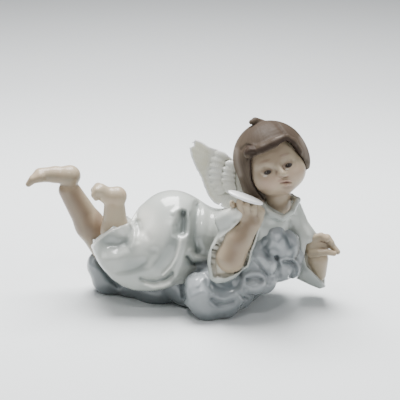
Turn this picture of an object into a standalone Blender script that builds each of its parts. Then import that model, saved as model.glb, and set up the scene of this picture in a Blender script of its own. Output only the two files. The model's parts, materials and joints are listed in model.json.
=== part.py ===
"""A porcelain angel lying on a cloud, one fired piece about 216 mm long.

The figure is modelled as a potter builds one: balls, eggs and tapered rolls of clay are laid
together, their joins are smoothed, and folds, locks and feathers are drawn in as strokes.
Every place and size of the free form is in millimetres of a figure 216 mm long, so each is a
share of FIGURE_LENGTH. +X runs from the feet to the head, -Y is the front, +Z is up, and the
finished figure stands with the middle of its underside at the origin.
"""

import math

import bmesh
import bpy
import numpy as np
from mathutils import Euler, Matrix, Vector

# Driving dimensions, in metres
FIGURE_LENGTH = 0.216
WING_THICKNESS = 0.0028
SLEEVE_HOLLOW = 0.0045
HEM_HOLLOW = 0.0040
PLATE_LENGTH = 0.0248
PLATE_WIDTH = 0.0135
PLATE_THICKNESS = 0.0028

NOMINAL_LENGTH = 216.0
MM = FIGURE_LENGTH / NOMINAL_LENGTH

# How fine the skin is while it is modelled, in millimetres, and how many facets it ends with
ROUGH_VOXEL = 0.9
ONE_SKIN_VOXEL = 0.75
FACETS = 9400

# The level, in millimetres, at which the underside of the cloud is cut flat
UNDERSIDE = 0.5

# Places whose facets stay small: centre, reach and weight
KEPT_FINE = [
    ((65.0, -30.0, 98.0), 17.0, 0.9),
    ((59.5, -8.0, 106.0), 26.0, 0.5),
    ((46.0, -33.0, 78.0), 15.0, 0.9),
    ((97.0, -6.0, 37.0), 15.0, 0.9),
    ((-56.0, -9.0, 81.0), 12.0, 0.6),
    ((-100.0, 8.0, 86.0), 12.0, 0.7),
    ((22.0, 10.0, 90.0), 26.0, 0.5),
    ((62.0, 34.0, 88.0), 26.0, 0.4),
    ((30.0, -37.0, 40.0), 22.0, 0.5),
    ((92.0, -4.0, 20.0), 18.0, 0.6),
]


class Form:
    """A distance field in millimetres, and the balls that its first rough mesh is made of."""

    def __init__(self, field, beads):
        self.field = field
        self.beads = beads


def egg(centre, radii, turn=(0, 0, 0)):
    """An ellipsoid; turn is in degrees about X, Y and Z, or a rotation."""
    rotation = turn if isinstance(turn, Matrix) else Euler([math.radians(a) for a in turn]).to_matrix()
    r = np.array(radii, float)
    c = np.array(centre, float)
    to_local = np.array(rotation)

    def field(p):
        q = (p - c) @ to_local / r
        near = np.sqrt((q * q).sum(1)) + 1e-9
        slope = np.sqrt(((q / r) ** 2).sum(1)) + 1e-9
        return near * (near - 1.0) / slope

    bead = Matrix.Translation(centre) @ rotation.to_4x4() @ Matrix.Diagonal((*radii, 1.0))
    return Form(field, [bead])


def ball(centre, radius):
    return egg(centre, (radius, radius, radius))


def roll(*stations, soft=0.0):
    """A tapered roll of clay through stations of (point, radius)."""
    points = np.array([s[0] for s in stations], float)
    radii = np.array([s[1] for s in stations], float)

    def field(p):
        out = None
        for a, b, ra, rb in zip(points[:-1], points[1:], radii[:-1], radii[1:]):
            along = b - a
            t = np.clip((p - a) @ along / (along @ along), 0.0, 1.0)
            d = np.sqrt(((p - a - t[:, None] * along) ** 2).sum(1)) - (ra + (rb - ra) * t)
            out = d if out is None else smooth_min(out, d, soft)
        return out

    beads = []
    for a, b, ra, rb in zip(points[:-1], points[1:], radii[:-1], radii[1:]):
        count = max(2, int(np.linalg.norm(b - a) / (0.35 * min(ra, rb))) + 1)
        for t in np.linspace(0.0, 1.0, count):
            radius = ra + (rb - ra) * t
            beads.append(Matrix.Translation(a + (b - a) * t) @ Matrix.Scale(radius, 4))
    return Form(field, beads)


def smooth_min(a, b, soft):
    """The lesser of two distances, with their join rounded over a width of soft."""
    if soft <= 0.0:
        return np.minimum(a, b)
    share = np.maximum(soft - np.abs(a - b), 0.0) / soft
    return np.minimum(a, b) - share * share * soft * 0.25


def blend(soft, *forms):
    def field(p):
        out = forms[0].field(p)
        for form in forms[1:]:
            out = smooth_min(out, form.field(p), soft)
        return out

    return Form(field, [bead for form in forms for bead in form.beads])


def placed(form, matrix):
    """The form moved and turned by a rigid matrix."""
    turn = np.array(matrix.to_3x3())
    shift = np.array(matrix.translation)
    return Form(lambda p: form.field((p - shift) @ turn), [matrix @ bead for bead in form.beads])


def squeezed(form, centre, along, share):
    """The form made thinner along a direction, to a share of its thickness."""
    c = np.array(centre, float)
    n = np.array(Vector(along).normalized())
    squeeze = Matrix.Translation(centre) @ Matrix.Scale(share, 4, Vector(along).normalized())
    squeeze = squeeze @ Matrix.Translation(-Vector(centre))

    def field(p):
        away = (p - c) @ n
        return form.field(p + np.outer(away * (1.0 / share - 1.0), n)) * share

    return Form(field, [squeeze @ bead for bead in form.beads])


def kept_within(form, limit, soft):
    """The part of the form that lies inside the limit."""
    return Form(lambda p: -smooth_min(-form.field(p), -limit.field(p), soft), form.beads)


def outline(points, back, front):
    """An upright prism along Y over an outline of (x, z) points, from y = front to y = back."""
    corners = np.array(points, float)

    def field(p):
        q = p[:, (0, 2)]
        nearest = np.full(len(q), 1e9)
        inside = np.zeros(len(q), bool)
        for a, b in zip(corners, np.roll(corners, -1, axis=0)):
            along = b - a
            t = np.clip((q - a) @ along / (along @ along), 0.0, 1.0)
            nearest = np.minimum(nearest, ((q - a - t[:, None] * along) ** 2).sum(1))
            crosses = (a[1] > q[:, 1]) != (b[1] > q[:, 1])
            rise = b[1] - a[1] if b[1] != a[1] else 1e-9
            inside ^= crosses & (q[:, 0] < a[0] + (q[:, 1] - a[1]) / rise * along[0])
        flat = np.where(inside, -1.0, 1.0) * np.sqrt(nearest)
        return np.maximum(flat, np.maximum(p[:, 1] - back, front - p[:, 1]))

    return Form(field, [])


def above(height):
    """Everything above a level."""
    return Form(lambda p: height - p[:, 2], [])


def field_and_slope(form, p):
    """The field and its gradient at each point, from four samples round it."""
    step = 0.05
    corners = np.array([(1, -1, -1), (-1, -1, 1), (-1, 1, -1), (1, 1, 1)], float)
    samples = [form.field(p + step * corner) for corner in corners]
    slope = sum(s[:, None] * corner for s, corner in zip(samples, corners)) / (4 * step)
    return sum(samples) / 4.0, slope


def settle(mesh, form, steps, most=1.5):
    """Moves each vertex onto the surface where the form's field is nothing."""
    co = np.empty(len(mesh.vertices) * 3)
    mesh.vertices.foreach_get("co", co)
    co = co.reshape(-1, 3)
    for _ in range(steps):
        value, slope = field_and_slope(form, co)
        steep = np.maximum((slope * slope).sum(1), 0.15)
        co -= slope * (np.clip(value, -most, most) / steep)[:, None]
    mesh.vertices.foreach_set("co", co.ravel())
    mesh.update()


def changed_by(mesh, kind, **settings):
    """The mesh as a modifier leaves it."""
    thing = bpy.data.objects.new("step", mesh)
    bpy.context.scene.collection.objects.link(thing)
    modifier = thing.modifiers.new("step", kind)
    for name, value in settings.items():
        setattr(modifier, name, value)
    graph = bpy.context.evaluated_depsgraph_get()
    made = bpy.data.meshes.new_from_object(thing.evaluated_get(graph))
    bpy.data.objects.remove(thing)
    bpy.data.meshes.remove(mesh)
    return made


def modelled(name, form, voxel):
    """A closed mesh of a form, in millimetres: balls, made one skin, then pressed to the form."""
    mesh = bpy.data.meshes.new(name)
    bm = bmesh.new()
    for bead in form.beads:
        bmesh.ops.create_icosphere(bm, subdivisions=2, radius=1.0, matrix=bead)
    bm.to_mesh(mesh)
    bm.free()
    for size, steps in ((1.8 * voxel, 10), (voxel, 4), (voxel, 2)):
        mesh = changed_by(mesh, "REMESH", mode="VOXEL", voxel_size=size)
        settle(mesh, form, steps)
    mesh.name = name
    return mesh


# The pose, in millimetres
HEAD_CENTRE = (59.5, -8.0, 104.5)
HEAD_TURN = (-11.0, -15.5, 12.0)
EYE_MIDDLE = -1.6
EYE_LEVEL = -2.6
NECK_TOP = (62.5, -6.0, 86.0)
NECK_BASE = (63.5, -3.0, 66.0)
HIPS = (-8.0, 2.0, 52.5)
WAIST = (20.0, 1.0, 46.5)
CHEST = (54.0, -4.0, 58.0)
NEAR_SHOULDER = (40.0, -17.0, 61.0)
FAR_SHOULDER = (72.5, 4.0, 63.0)
FAR_ELBOW = (86.0, 0.0, 22.0)
NEAR_KNEE = (-44.0, -6.5, 34.0)
NEAR_ANKLE = (-47.0, -7.5, 73.0)
FAR_KNEE = (-51.0, 12.0, 30.0)
FAR_ANKLE = (-79.0, 10.0, 77.0)
WING_ROOT = (36.0, 3.0, 66.0)
WING_FACING = (0.24, -0.93, 0.30)
HEM_EDGE = (-48.4, -18.0, 58.9)
HEM_FACING = (-0.58, 0.27, 0.77)

# The hollow of each sleeve, as the front view shows it
NEAR_CUFF = [(41.0, 57.7), (32.7, 50.1), (23.2, 42.8), (19.0, 35.8), (18.3, 25.8), (20.0, 17.6), (28.1, 17.6),
             (36.7, 21.4), (41.6, 25.6), (42.9, 30.0), (43.6, 34.8), (46.0, 41.0), (47.9, 47.5), (50.6, 56.0),
             (47.0, 61.0)]
FAR_CUFF = [(84.0, 38.5), (82.6, 30.3), (84.3, 23.4), (91.5, 16.6), (97.1, 10.6), (104, 10), (104.0, 31.0),
            (92.2, 41.4)]

# The lower edge of the skirt, as the front view shows it
SKIRT_EDGE = [(-63.8, 34.5), (-60.1, 29.1), (-54.7, 22), (-49.3, 15.6), (-42.5, 10.5), (-34.4, 7.1),
              (-22.9, 6.4), (-14.2, 7.5), (-6.7, 10.8), (78.4, 10.8), (78.4, 136.5), (-97.3, 136.5),
              (-97.3, 34.5)]

# The deep fold at the waist, as the front view shows it
NOTCH = [(-0.9, 61.9), (0.9, 60.9), (1.4, 54.1), (1.2, 46.7), (-1.9, 44), (-6, 46.7), (-6.7, 51.4),
         (-4, 57.5)]

# How far back, along the line of sight of the front view, the carving of each reaches
ROBE_BACK = -17.0
NEAR_CUFF_BACK = -20.0
FAR_CUFF_BACK = -5.0

# The front view that the outlines are drawn in looks down by this angle
VIEW_DROP = math.radians(20.0)
FRONT = Matrix.Rotation(-VIEW_DROP, 4, "X")


def seen(x, v, y):
    """The point at depth y that the front view shows x across and v up."""
    return (x, y, (v - math.sin(VIEW_DROP) * y) / math.cos(VIEW_DROP))


def smooth_step(t):
    t = np.clip(t, 0.0, 1.0)
    return t * t * (3.0 - 2.0 * t)


def near_line(q, points):
    """The distance of each point of a plane from a line of points."""
    nearest = np.full(len(q), 1e9)
    corners = np.array(points, float)
    for a, b in zip(corners[:-1], corners[1:]):
        along = b - a
        t = np.clip((q - a) @ along / (along @ along), 0.0, 1.0)
        nearest = np.minimum(nearest, ((q - a - t[:, None] * along) ** 2).sum(1))
    return np.sqrt(nearest)


def drawn_in_front(form, frame, back, *strokes):
    """Ridges and grooves drawn from the front of a frame, on what lies nearer than a depth."""
    turn = np.array(frame.to_3x3())
    shift = np.array(frame.translation)

    def field(p):
        out = form.field(p)
        q = (p - shift) @ turn
        nearer = np.flatnonzero(q[:, 1] < back)
        if len(nearer) == 0:
            return out
        plane = q[nearer][:, (0, 2)]
        fade = smooth_step((back - q[nearer, 1]) / 3.0)
        change = np.zeros(len(nearer))
        for points, width, height in strokes:
            d = near_line(plane, points)
            change += height * np.exp(-((d / width) ** 2))
        out[nearer] -= change * fade
        return out

    return Form(field, form.beads)


def pressed(form, frame, points, depth, edge, back):
    """The form pressed in over an outline of (x, z) points on the front of a frame."""
    turn = np.array(frame.to_3x3())
    shift = np.array(frame.translation)
    shape = outline(points, 1e6, -1e6)

    def field(p):
        out = form.field(p)
        q = (p - shift) @ turn
        inside = smooth_step(0.5 - shape.field(q) / edge) * smooth_step((back - q[:, 1]) / 3.0)
        return out + depth * inside

    return Form(field, form.beads)


def face():
    """The bare head, facing -Y about its own middle."""
    skull = egg((-1.0, 0.5, 1), (19.6, 22.5, 22.5))
    jaw = egg((0.6, -4.5, -9.3), (16.4, 16.4, 12.4))
    cheeks = [ball((side * 7.9 - 0.3, -11.8, -8.4), 8.6) for side in (-1, 1)]
    chin = ball((0.2, -13.8, -15.8), 5.0)
    form = blend(6.0, skull, jaw, chin, *cheeks)
    nose = roll(((-1.2, -21.2, -0.4), 1.7), ((-0.2, -25.1, -5.6), 2.4))
    nostrils = [ball((side * 2.1 - 0.1, -23.1, -6.5), 1.6) for side in (-1, 1)]
    form = blend(2.2, form, nose, *nostrils)
    upper = roll(((-2.8, -20.0, -11.6), 0.9), ((-0.2, -22.0, -10.7), 1.4), ((1.8, -21.9, -11.2), 1.4),
                 ((3.9, -19.9, -13.2), 0.9))
    lower = roll(((-1.4, -20.4, -13.1), 0.9), ((0.6, -21.5, -13.8), 1.4), ((2.6, -20.4, -14.5), 0.9))
    form = blend(1.2, form, upper, lower)
    sockets = [([(EYE_MIDDLE + side * 5.6, EYE_LEVEL + 0.6), (EYE_MIDDLE + side * 9.2, EYE_LEVEL + 0.4)],
                3.4, -1.3) for side in (-1, 1)]
    form = drawn_in_front(form, Matrix.Identity(4), -8.0, *sockets)
    eyes = [ball((EYE_MIDDLE + side * 7.4, -16.6, EYE_LEVEL), 4.2) for side in (-1, 1)]
    form = blend(0.8, form, *eyes)
    mouth = ([(-3.0, -12.0), (0.3, -12.0), (2.2, -12.6), (4.0, -13.9)], 0.7, -0.6)
    arch = ((4.4, 3.2), (7.5, 4.4), (11.0, 3.2))
    brows = [([(EYE_MIDDLE + side * x, v) for x, v in arch], 2.4, 0.4) for side in (-1, 1)]
    return drawn_in_front(form, Matrix.Identity(4), -8.0, mouth, *brows)


def hair():
    """The cap of hair, pressed in over the face, with its fringe, its side locks and its tuft."""
    cap = egg((-0.8, 2.5, 2.0), (25.0, 25.2, 24.8))
    bob = egg((-15.0, 0.5, -13), (10.0, 13, 12.5), (0, 14, 0))
    flap = egg((16.6, 1.0, -4), (6.6, 12, 10.5), (0, -8, 0))
    nape = egg((0, 13, -13), (17, 12, 12))
    form = blend(6.0, cap, bob, flap, nape)
    curl = ball((-14.5, -15.0, 13.0), 4.6)
    fringe = [
        roll(((9.0, -19.0, 15.5), 2.6), ((0.5, -20.6, 14.0), 3.4), ((-8.0, -19.0, 12.8), 3.4),
             ((-15.0, -14.5, 12.0), 3.2), soft=2.0),
        roll(((9.0, -19.0, 15.5), 2.4), ((13.5, -17.5, 10.5), 2.6), ((16.2, -15.5, 3.0), 2.0), soft=2.0),
    ]
    form = blend(2.5, form, curl, *fringe)
    window = [(-15.6, 8.6), (-11.5, 9.4), (-6.5, 10.0), (-0.5, 10.6), (4.5, 12.6), (8.6, 13.2),
              (11.4, 10.6), (13.4, 6.6), (14.6, 2.2), (16.6, -2.0), (17.2, -9), (19.0, -12.5), (30, -14),
              (30, -60), (-2, -60), (-11.0, -27.0), (-15.5, -20.0), (-17.6, -13.0), (-18.4, -5.0),
              (-17.6, 2.0)]
    form = pressed(form, Matrix.Identity(4), window, 10.0, 1.6, 3.0)
    tuft = roll(((0.5, 6, 25.4), 2.8), ((-3.0, 4, 28.4), 2.5), ((-6.2, 2, 28.8), 1.5))
    form = blend(1.5, form, tuft)
    part = ([(10.5, 15), (9.5, 20), (7.0, 30)], 1.1, -0.9)
    combed = [([(10.0 - 0.6 * k, 18 + 2.2 * k), (1 - 1.5 * k, 19 + 1.6 * k), (-9 - 1.6 * k, 17 + 0.6 * k),
                (-18 - 0.9 * k, 8 - k), (-21 - 0.8 * k, -6), (-18 - 0.8 * k, -18)], 1.0, -0.28)
              for k in range(4)]
    swirl = [([(-19, 15), (-15, 17.5), (-11, 15), (-12.5, 11.5), (-16, 12.5)], 1.0, -0.7)]
    return drawn_in_front(form, Matrix.Identity(4), 6.0, part, *combed, *swirl)


def head_frame():
    turn = Euler([math.radians(a) for a in HEAD_TURN], "XYZ").to_matrix().to_4x4()
    return Matrix.Translation(HEAD_CENTRE) @ turn


def head():
    return placed(face(), head_frame())


def head_hair():
    return placed(hair(), head_frame())


def neck():
    return roll((NECK_TOP, 9.6), (NECK_BASE, 9.2))


def robe():
    hips = egg(HIPS, (25.5, 24, 25.5))
    trunk = roll((HIPS, 20), (WAIST, 16.5), (CHEST, 16.0), soft=8.0)
    shoulders = roll((NEAR_SHOULDER, 11.0), (CHEST, 14.0), (FAR_SHOULDER, 9.5), soft=6.0)
    near_thigh = roll(((-10, -8, 44), 20.0), ((-44, -12, 34), 17.5))
    far_thigh = roll(((-10, 12, 44), 19.0), (FAR_KNEE, 15.0))
    skirt = egg((-47.5, -2.5, 45), (17, 21, 24), (0, -12, 0))
    drape = egg((-20, -12, 26), (32, 15, 17), (0, -3, 6))
    rump = ball((-29, 1, 54), 9.0)
    form = blend(10.0, hips, trunk, near_thigh, far_thigh, drape, rump)
    form = blend(6.0, form, skirt)
    return blend(8.0, form, shoulders)


def hem(form):
    """The robe cut off at its hem, the cut dished so that a rim stands round the legs."""
    facing = np.array(Vector(HEM_FACING).normalized())
    edge = np.array(HEM_EDGE)

    def field(p):
        body = form.field(p)
        over = (p - edge) @ facing + 0.26 * np.maximum(p[:, 0] + 48.0, 0.0)
        over = over - 1.2 * np.maximum(p[:, 0] + 37.0, 0.0)
        over = over + 1000.0 * HEM_HOLLOW * smooth_step((-body - 1.2) / 5.0)
        return -smooth_min(-body, -over, 1.6)

    return Form(field, form.beads)


def robe_with_folds():
    skirt_edge = placed(outline(SKIRT_EDGE, 100.0, -100.0), FRONT)
    form = kept_within(hem(robe()), skirt_edge, 4.0)
    folds = [
        ([(3.1, 60.9), (3.8, 51.4), (3.4, 42)], 1.8, 1.0),
        ([(-0.5, 60.2), (0.1, 53.5), (-0.6, 46.7)], 1.9, -2.4),
        ([(0.7, 44.7), (0.1, 35.2), (-1.6, 27.1), (-4.7, 19.1), (-9.4, 13)], 2.6, 2.0),
        ([(-2, 44.7), (-3, 37.3), (-5, 30.5), (-8.4, 24.5), (-14.1, 18.7)], 1.4, 1.5),
        ([(-8, 19.1), (-12.1, 16.4), (-18.1, 14.7), (-24.9, 14.7), (-28.9, 16)], 1.8, -1.7),
        ([(-8.7, 14.3), (-14.1, 11.3), (-20.8, 10.6), (-26.9, 12.7)], 1.9, 1.3),
        ([(-7.4, 60.2), (-4, 62.5), (0.1, 62.2)], 1.6, 0.8),
        ([(8.8, 64.9), (7.5, 54.1), (6.8, 43.3), (8.8, 35.2)], 3.2, -2.8),
        ([(4.1, 34.5), (6.8, 30.1), (12.2, 28.8), (18.9, 29.1)], 1.6, 1.4),
        ([(2.1, 30.5), (5.5, 26.1), (12.2, 24.7), (19.6, 25.1)], 1.5, -2.6),
        ([(13.9, 62.9), (14.9, 54.1), (13.9, 46)], 2.2, 0.5),
        ([(20.3, 58.2), (19.6, 52.8), (17.6, 44.7)], 2.2, 0.5),
        ([(-48.6, 39.2), (-44.6, 37.9), (-39.2, 39.2)], 4.4, -2.2),
        ([(-54, 28.4), (-44.6, 30.4), (-36.4, 35.8), (-29.7, 44.6)], 3.8, 1.4),
        ([(-44.5, 21.7), (-35, 23.1), (-25.6, 27.1), (-20.2, 33.9)], 4.0, -1.5),
        ([(-22.8, 21.8), (-16.1, 29.9), (-11.4, 39.3), (-8.7, 51.4)], 3.6, 1.4),
        ([(-28.2, 47.4), (-22.8, 42), (-24.2, 35.3)], 3.0, -0.9),
        ([(-35.8, 53.4), (-33.7, 49.4), (-33.4, 43.3), (-35.1, 37.2)], 1.6, 1.4),
        ([(-31, 54.1), (-30, 48), (-31, 41.9)], 1.8, -1.0),
        ([(-32.1, 61.5), (-32.4, 56.8), (-32.4, 52.7)], 0.9, -0.9),
        ([(72.8, 54), (74.8, 47.2), (76.9, 41.7)], 2.2, -1.6),
        ([(76.9, 58.1), (78.9, 49.9), (83, 41.7)], 1.8, 0.8),
    ]
    form = drawn_in_front(form, FRONT, ROBE_BACK, *folds)
    form = pressed(form, FRONT, NOTCH, 2.6, 5.5, ROBE_BACK)
    collar = roll((seen(53.0, 65.0, -15.0), 2.2), (seen(57.7, 60.2, -18.5), 2.0),
                  (seen(66.4, 56.6, -19.5), 2.0), (seen(72.3, 60.9, -16), 2.0), (seen(76.7, 69, -8), 2.0),
                  ((73, 3, 74.5), 2.4), ((63, 7, 74.0), 2.8), ((54, 1, 73.5), 2.4),
                  (seen(53.0, 65.0, -15.0), 2.2), soft=1.0)
    return blend(3.0, form, collar)


def near_sleeve():
    upper = roll((NEAR_SHOULDER, 10.5), ((34, -26, 52), 10.5), soft=5.0)
    bell = egg(seen(31.5, 35.0, -31.0), (13.6, 11.5, 25.0), (-10, 27, 0))
    wall = roll((seen(42.0, 28.0, -30.0), 5.0), (seen(46.0, 41.0, -30.0), 5.0),
                (seen(49.0, 53.0, -30.0), 4.0))
    outer = outline([(41.5, 62.3), (32.1, 54.0), (24.1, 48.9), (18.4, 42.4), (15.4, 35.7), (15.4, 27.7),
                     (16.9, 15.8), (21.5, 13.0), (29.5, 14.3), (37.8, 17.8), (43.0, 23.4), (44.8, 28.8),
                     (45.5, 34.2), (47.8, 40.2), (49.8, 46.8), (52.4, 54.5), (50.5, 63)], 100.0, -100.0)
    bell = kept_within(blend(3.0, bell, wall), placed(outer, FRONT), 1.5)
    lap = roll(((27, -26, 68), 6.5), (seen(34.8, 60.1, -34), 4.6))
    form = blend(5.0, upper, bell, lap)
    return pressed(form, FRONT, NEAR_CUFF, 1000.0 * SLEEVE_HOLLOW, 1.4, NEAR_CUFF_BACK)


def near_arm():
    upper = seen(45.2, 53.9, -33.0)
    return roll((seen(31.0, 30.2, -33.5), 9.9), (seen(36.6, 43.0, -33.0), 8.4), (upper, 5.8), soft=3.0)


def near_hand():
    wrist = seen(45.2, 53.9, -33.0)
    middle = seen(43.1, 59.7, -32)
    palm = squeezed(ball(middle, 7.4), middle, (0.2, -1, 0.2), 0.66)
    heel = roll((seen(49.1, 56.4, -32), 3.6), (seen(50.6, 61.4, -33), 3.1), (seen(48.3, 64.7, -33), 2.2))
    fingers = [
        roll((seen(34.6, 62.4, -31), 2.2), (seen(32.2, 66.1, -34), 2.0), (seen(31.9, 67.1, -30), 1.8)),
        roll((seen(38.4, 60.4, -34), 2.5), (seen(36.7, 67.3, -37.5), 2.3), (seen(36.8, 68.7, -33), 2.0)),
        roll((seen(42.4, 60.4, -34.5), 2.5), (seen(41.1, 65.4, -37.8), 2.3), (seen(41, 67.1, -33), 2.0)),
        roll((seen(46.3, 60.4, -34), 2.5), (seen(45.9, 64, -36.8), 2.3), (seen(45.4, 65.9, -32.5), 2.0)),
    ]
    return blend(1.1, palm, heel, roll((wrist, 5.8), (middle, 5.4)), *fingers)


def plate():
    middle = seen(40.7, 70.5, -33)
    turn = Euler([math.radians(a) for a in (-3, 20.6, 0)]).to_matrix()
    top = np.array(turn.col[2])
    disc = egg(middle, (500.0 * PLATE_LENGTH, 500.0 * PLATE_WIDTH, 2.2 * 500.0 * PLATE_THICKNESS), turn)
    slab = Form(lambda p: np.abs((p - np.array(middle)) @ top) - 500.0 * PLATE_THICKNESS, [])
    return kept_within(disc, slab, 1.6)


def far_sleeve():
    upper = roll((FAR_SHOULDER, 9.5), ((82, 3, 46), 10.0), (FAR_ELBOW, 11.0), ((92, -2, 16), 9.0), soft=4.0)
    outer = outline([(60, 90), (68, 50), (78.0, 44), (79.2, 30.2), (77.7, 14.5), (86.7, 10.2), (93.6, 7.5),
                     (97.8, 8.3), (98.0, 22.1), (99.5, 28.9), (93, 44), (89.8, 47.6), (84.9, 54.5), (82.5, 60.7),
                     (80.5, 67), (78, 90)],
                    100.0, -100.0)
    form = kept_within(upper, placed(outer, FRONT), 1.5)
    return pressed(form, FRONT, FAR_CUFF, 1000.0 * SLEEVE_HOLLOW, 1.4, FAR_CUFF_BACK)


def far_arm():
    return roll((seen(92.5, 18.0, -1), 6.0), (seen(92.0, 28.0, -2), 7.6), soft=3.0)


def far_hand():
    palm_middle = seen(90.7, 35.9, -2.5)
    palm = squeezed(ball(palm_middle, 8.2), palm_middle, (0, 1, 0.2), 0.62)
    fingers = [
        roll((seen(87.2, 37.3, -3), 3.0), (seen(89.3, 42.6, -4), 3.0), (seen(93.6, 44, -5), 2.8),
             (seen(97.3, 42.3, -6.5), 2.4)),
        roll((seen(90.8, 39.3, 0), 3.4), (seen(94.1, 42.8, -1), 3.2), (seen(98.1, 42.8, -2), 2.9),
             (seen(100.8, 39.4, -4), 2.4)),
        roll((seen(94.9, 37.2, -1), 3.4), (seen(98.9, 39.4, -2), 2.9), (seen(102.2, 36.7, -4), 2.4),
             (seen(105.3, 33.3, -6), 1.9)),
    ]
    thumb = roll((seen(87.1, 32.6, -6), 3.0), (seen(92.3, 33, -8.5), 2.7), (seen(97.7, 33.4, -9.5), 2.3),
                 (seen(102.5, 32.3, -9), 1.8))
    return blend(1.2, palm, thumb, *fingers)


def near_leg():
    calf = roll((NEAR_KNEE, 10.5), ((-47, -7.5, 54), 9.0), (NEAR_ANKLE, 7.0), soft=4.0)
    heel = ball((-45.2, -8, 78.9), 6.3)
    sole = roll(((-45.0, -8, 79.2), 6.1), ((-51.5, -8.6, 79.6), 5.3), ((-56.2, -9.5, 83.0), 5.4), soft=2.0)
    toes = [roll(((-58.0, -13.4 + 2.6 * k, 84.4 - 0.3 * k), 2.6),
                 ((-60.0 + 0.3 * k, -14.0 + 2.8 * k, 82.0), 2.2),
                 ((-58.8 + 0.3 * k, -14.2 + 2.8 * k, 79.8), 1.8)) for k in range(4)]
    big = roll(((-58.0, -4, 84.2), 3.0), ((-60.4, -3.4, 81.6), 2.7), ((-58.6, -3.2, 79.0), 2.1))
    return blend(2.0, calf, heel, sole, big, *toes)


def far_leg():
    calf = roll((FAR_KNEE, 12.0), ((-65.5, 11, 51), 9.8), (FAR_ANKLE, 7.4), soft=4.0)
    heel = ball((-78.2, 9.5, 87.6), 6.9)
    sole = roll(((-78, 9.5, 87.6), 6.4), ((-88, 9, 88.6), 5.4), ((-98.0, 8, 88.6), 5.0), soft=2.0)
    toes = [roll(((-98, 5.6 + 2.6 * k, 88.4), 2.6), ((-102.4 + 0.5 * k, 5.2 + 2.7 * k, 87.2), 2.2),
                 ((-104.8 + 0.6 * k, 5.2 + 2.7 * k, 84.4), 1.7)) for k in range(4)]
    big = roll(((-98, 4, 88.4), 3.3), ((-102.8, 3.0, 87.0), 2.9), ((-106.0, 2.8, 83.8), 1.9))
    return blend(2.4, calf, heel, sole, big, *toes)


# Rows of feathers as the front view shows them: where they start, where they end, half width and lift
FEATHER_ROWS = [
    ([(21.7, 97.3), (19.6, 96), (19, 94), (18.3, 91.2), (18.3, 89.2), (18.3, 86.5), (19, 83.8),
      (19.6, 81.1), (21, 78.4), (23, 75.7), (25.7, 73.7)],
     [(6.8, 109.2), (4.5, 104.8), (5.2, 100), (6.5, 95.6), (8.1, 91.2), (10.2, 87.2), (11.9, 82.8),
      (13.4, 78.4), (15.7, 73.7), (18.3, 69.6), (22.3, 67.6)],
     3.1, 0.5),
    ([(29.8, 97.3), (28.4, 93.3), (27.7, 89.9), (27.4, 86.5), (27.4, 83.1), (27.7, 79.8), (28.8, 77.1)],
     [(20.6, 101), (18.3, 97), (17.3, 92.6), (16.8, 88.2), (16.9, 83.8), (17.9, 79.4), (20, 75)],
     3.1, 1.5),
    ([(35.2, 91.9), (34.5, 88.5), (34.5, 85.2), (34.5, 81.8), (34.5, 79.1), (35.2, 77.1)],
     [(27.7, 94), (26.1, 90.2), (25.2, 86.2), (25, 82.5), (25.7, 78.7), (27.4, 75.7)],
     2.9, 2.4),
]


def wing_point(x, v, lift=0.0):
    """The point of the wing's plane that the front view shows at (x, v), lifted towards the front."""
    facing = Vector(WING_FACING).normalized()
    sight = FRONT.to_3x3() @ Vector((0, -1, 0))
    start = Vector(seen(x, v, 0.0))
    reach = (Vector(WING_ROOT) - start).dot(facing) / sight.dot(facing)
    return start + sight * reach + facing * lift


def feather_frame(base, tip, lift):
    """The middle of a feather, its directions (across, facing, along) and half its length."""
    a, b = wing_point(*base, lift), wing_point(*tip, lift * 0.6)
    along = (b - a).normalized()
    facing = Vector(WING_FACING).normalized()
    across = along.cross(facing).normalized()
    return (a + b) / 2, Matrix((across, facing, along)).transposed(), (b - a).length / 2


def feather(base, tip, width, lift):
    middle, turn, half = feather_frame(base, tip, lift)
    return egg(middle, (width, 1.2, half), turn)


def near_wing():
    facing = np.array(Vector(WING_FACING).normalized())
    root = np.array(WING_ROOT)
    edge = [(5.8, 110.6), (11.4, 108.6), (16.6, 105.4), (22.0, 103.8), (27.0, 101.4), (32.0, 98.0), (38, 93),
            (42.0, 86.1), (43.4, 75.8), (40, 64), (33, 60.4), (26.5, 64.0), (20.4, 67.0), (16.6, 71.6),
            (13.9, 77.9), (11.6, 84.7), (7.6, 91.6), (4.8, 98.4), (3.4, 105.3)]
    shape = placed(outline(edge, 100.0, -100.0), FRONT)

    def slab(p):
        away = (p - root) @ facing
        return np.abs(away) - 500.0 * WING_THICKNESS

    beads = []
    for x, v, r in ((9, 104, 3), (12, 100, 5), (16, 96, 7), (20, 90, 9), (26, 84, 11), (30, 76, 11),
                    (33, 70, 8), (17, 102, 3), (23, 99, 4.5), (29, 95, 5), (35, 89, 5.5), (39, 82, 5),
                    (41, 75, 4), (38, 68, 5), (29, 66, 3), (22, 70, 4), (9, 95, 4), (13, 86, 3)):
        place = Matrix.Translation(wing_point(x, v))
        turn = Vector((0, 0, 1)).rotation_difference(Vector(WING_FACING)).to_matrix().to_4x4()
        beads.append(place @ turn @ Matrix.Diagonal((r, r, 1.4, 1.0)))
    blade = kept_within(Form(slab, beads), shape, 0.8)
    rows = [feather(base, tip, width, lift)
            for bases, tips, width, lift in FEATHER_ROWS for base, tip in zip(bases, tips)]
    return blend(0.7, blade, *rows)


def far_wing_mirror():
    """The near wing's mirror through the middle of the back."""
    centre = (Vector(NEAR_SHOULDER) + Vector(FAR_SHOULDER)) / 2
    across = (Vector(FAR_SHOULDER) - Vector(NEAR_SHOULDER)).normalized()
    return Matrix.Translation(centre) @ Matrix.Scale(-1, 4, across) @ Matrix.Translation(-centre)


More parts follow.
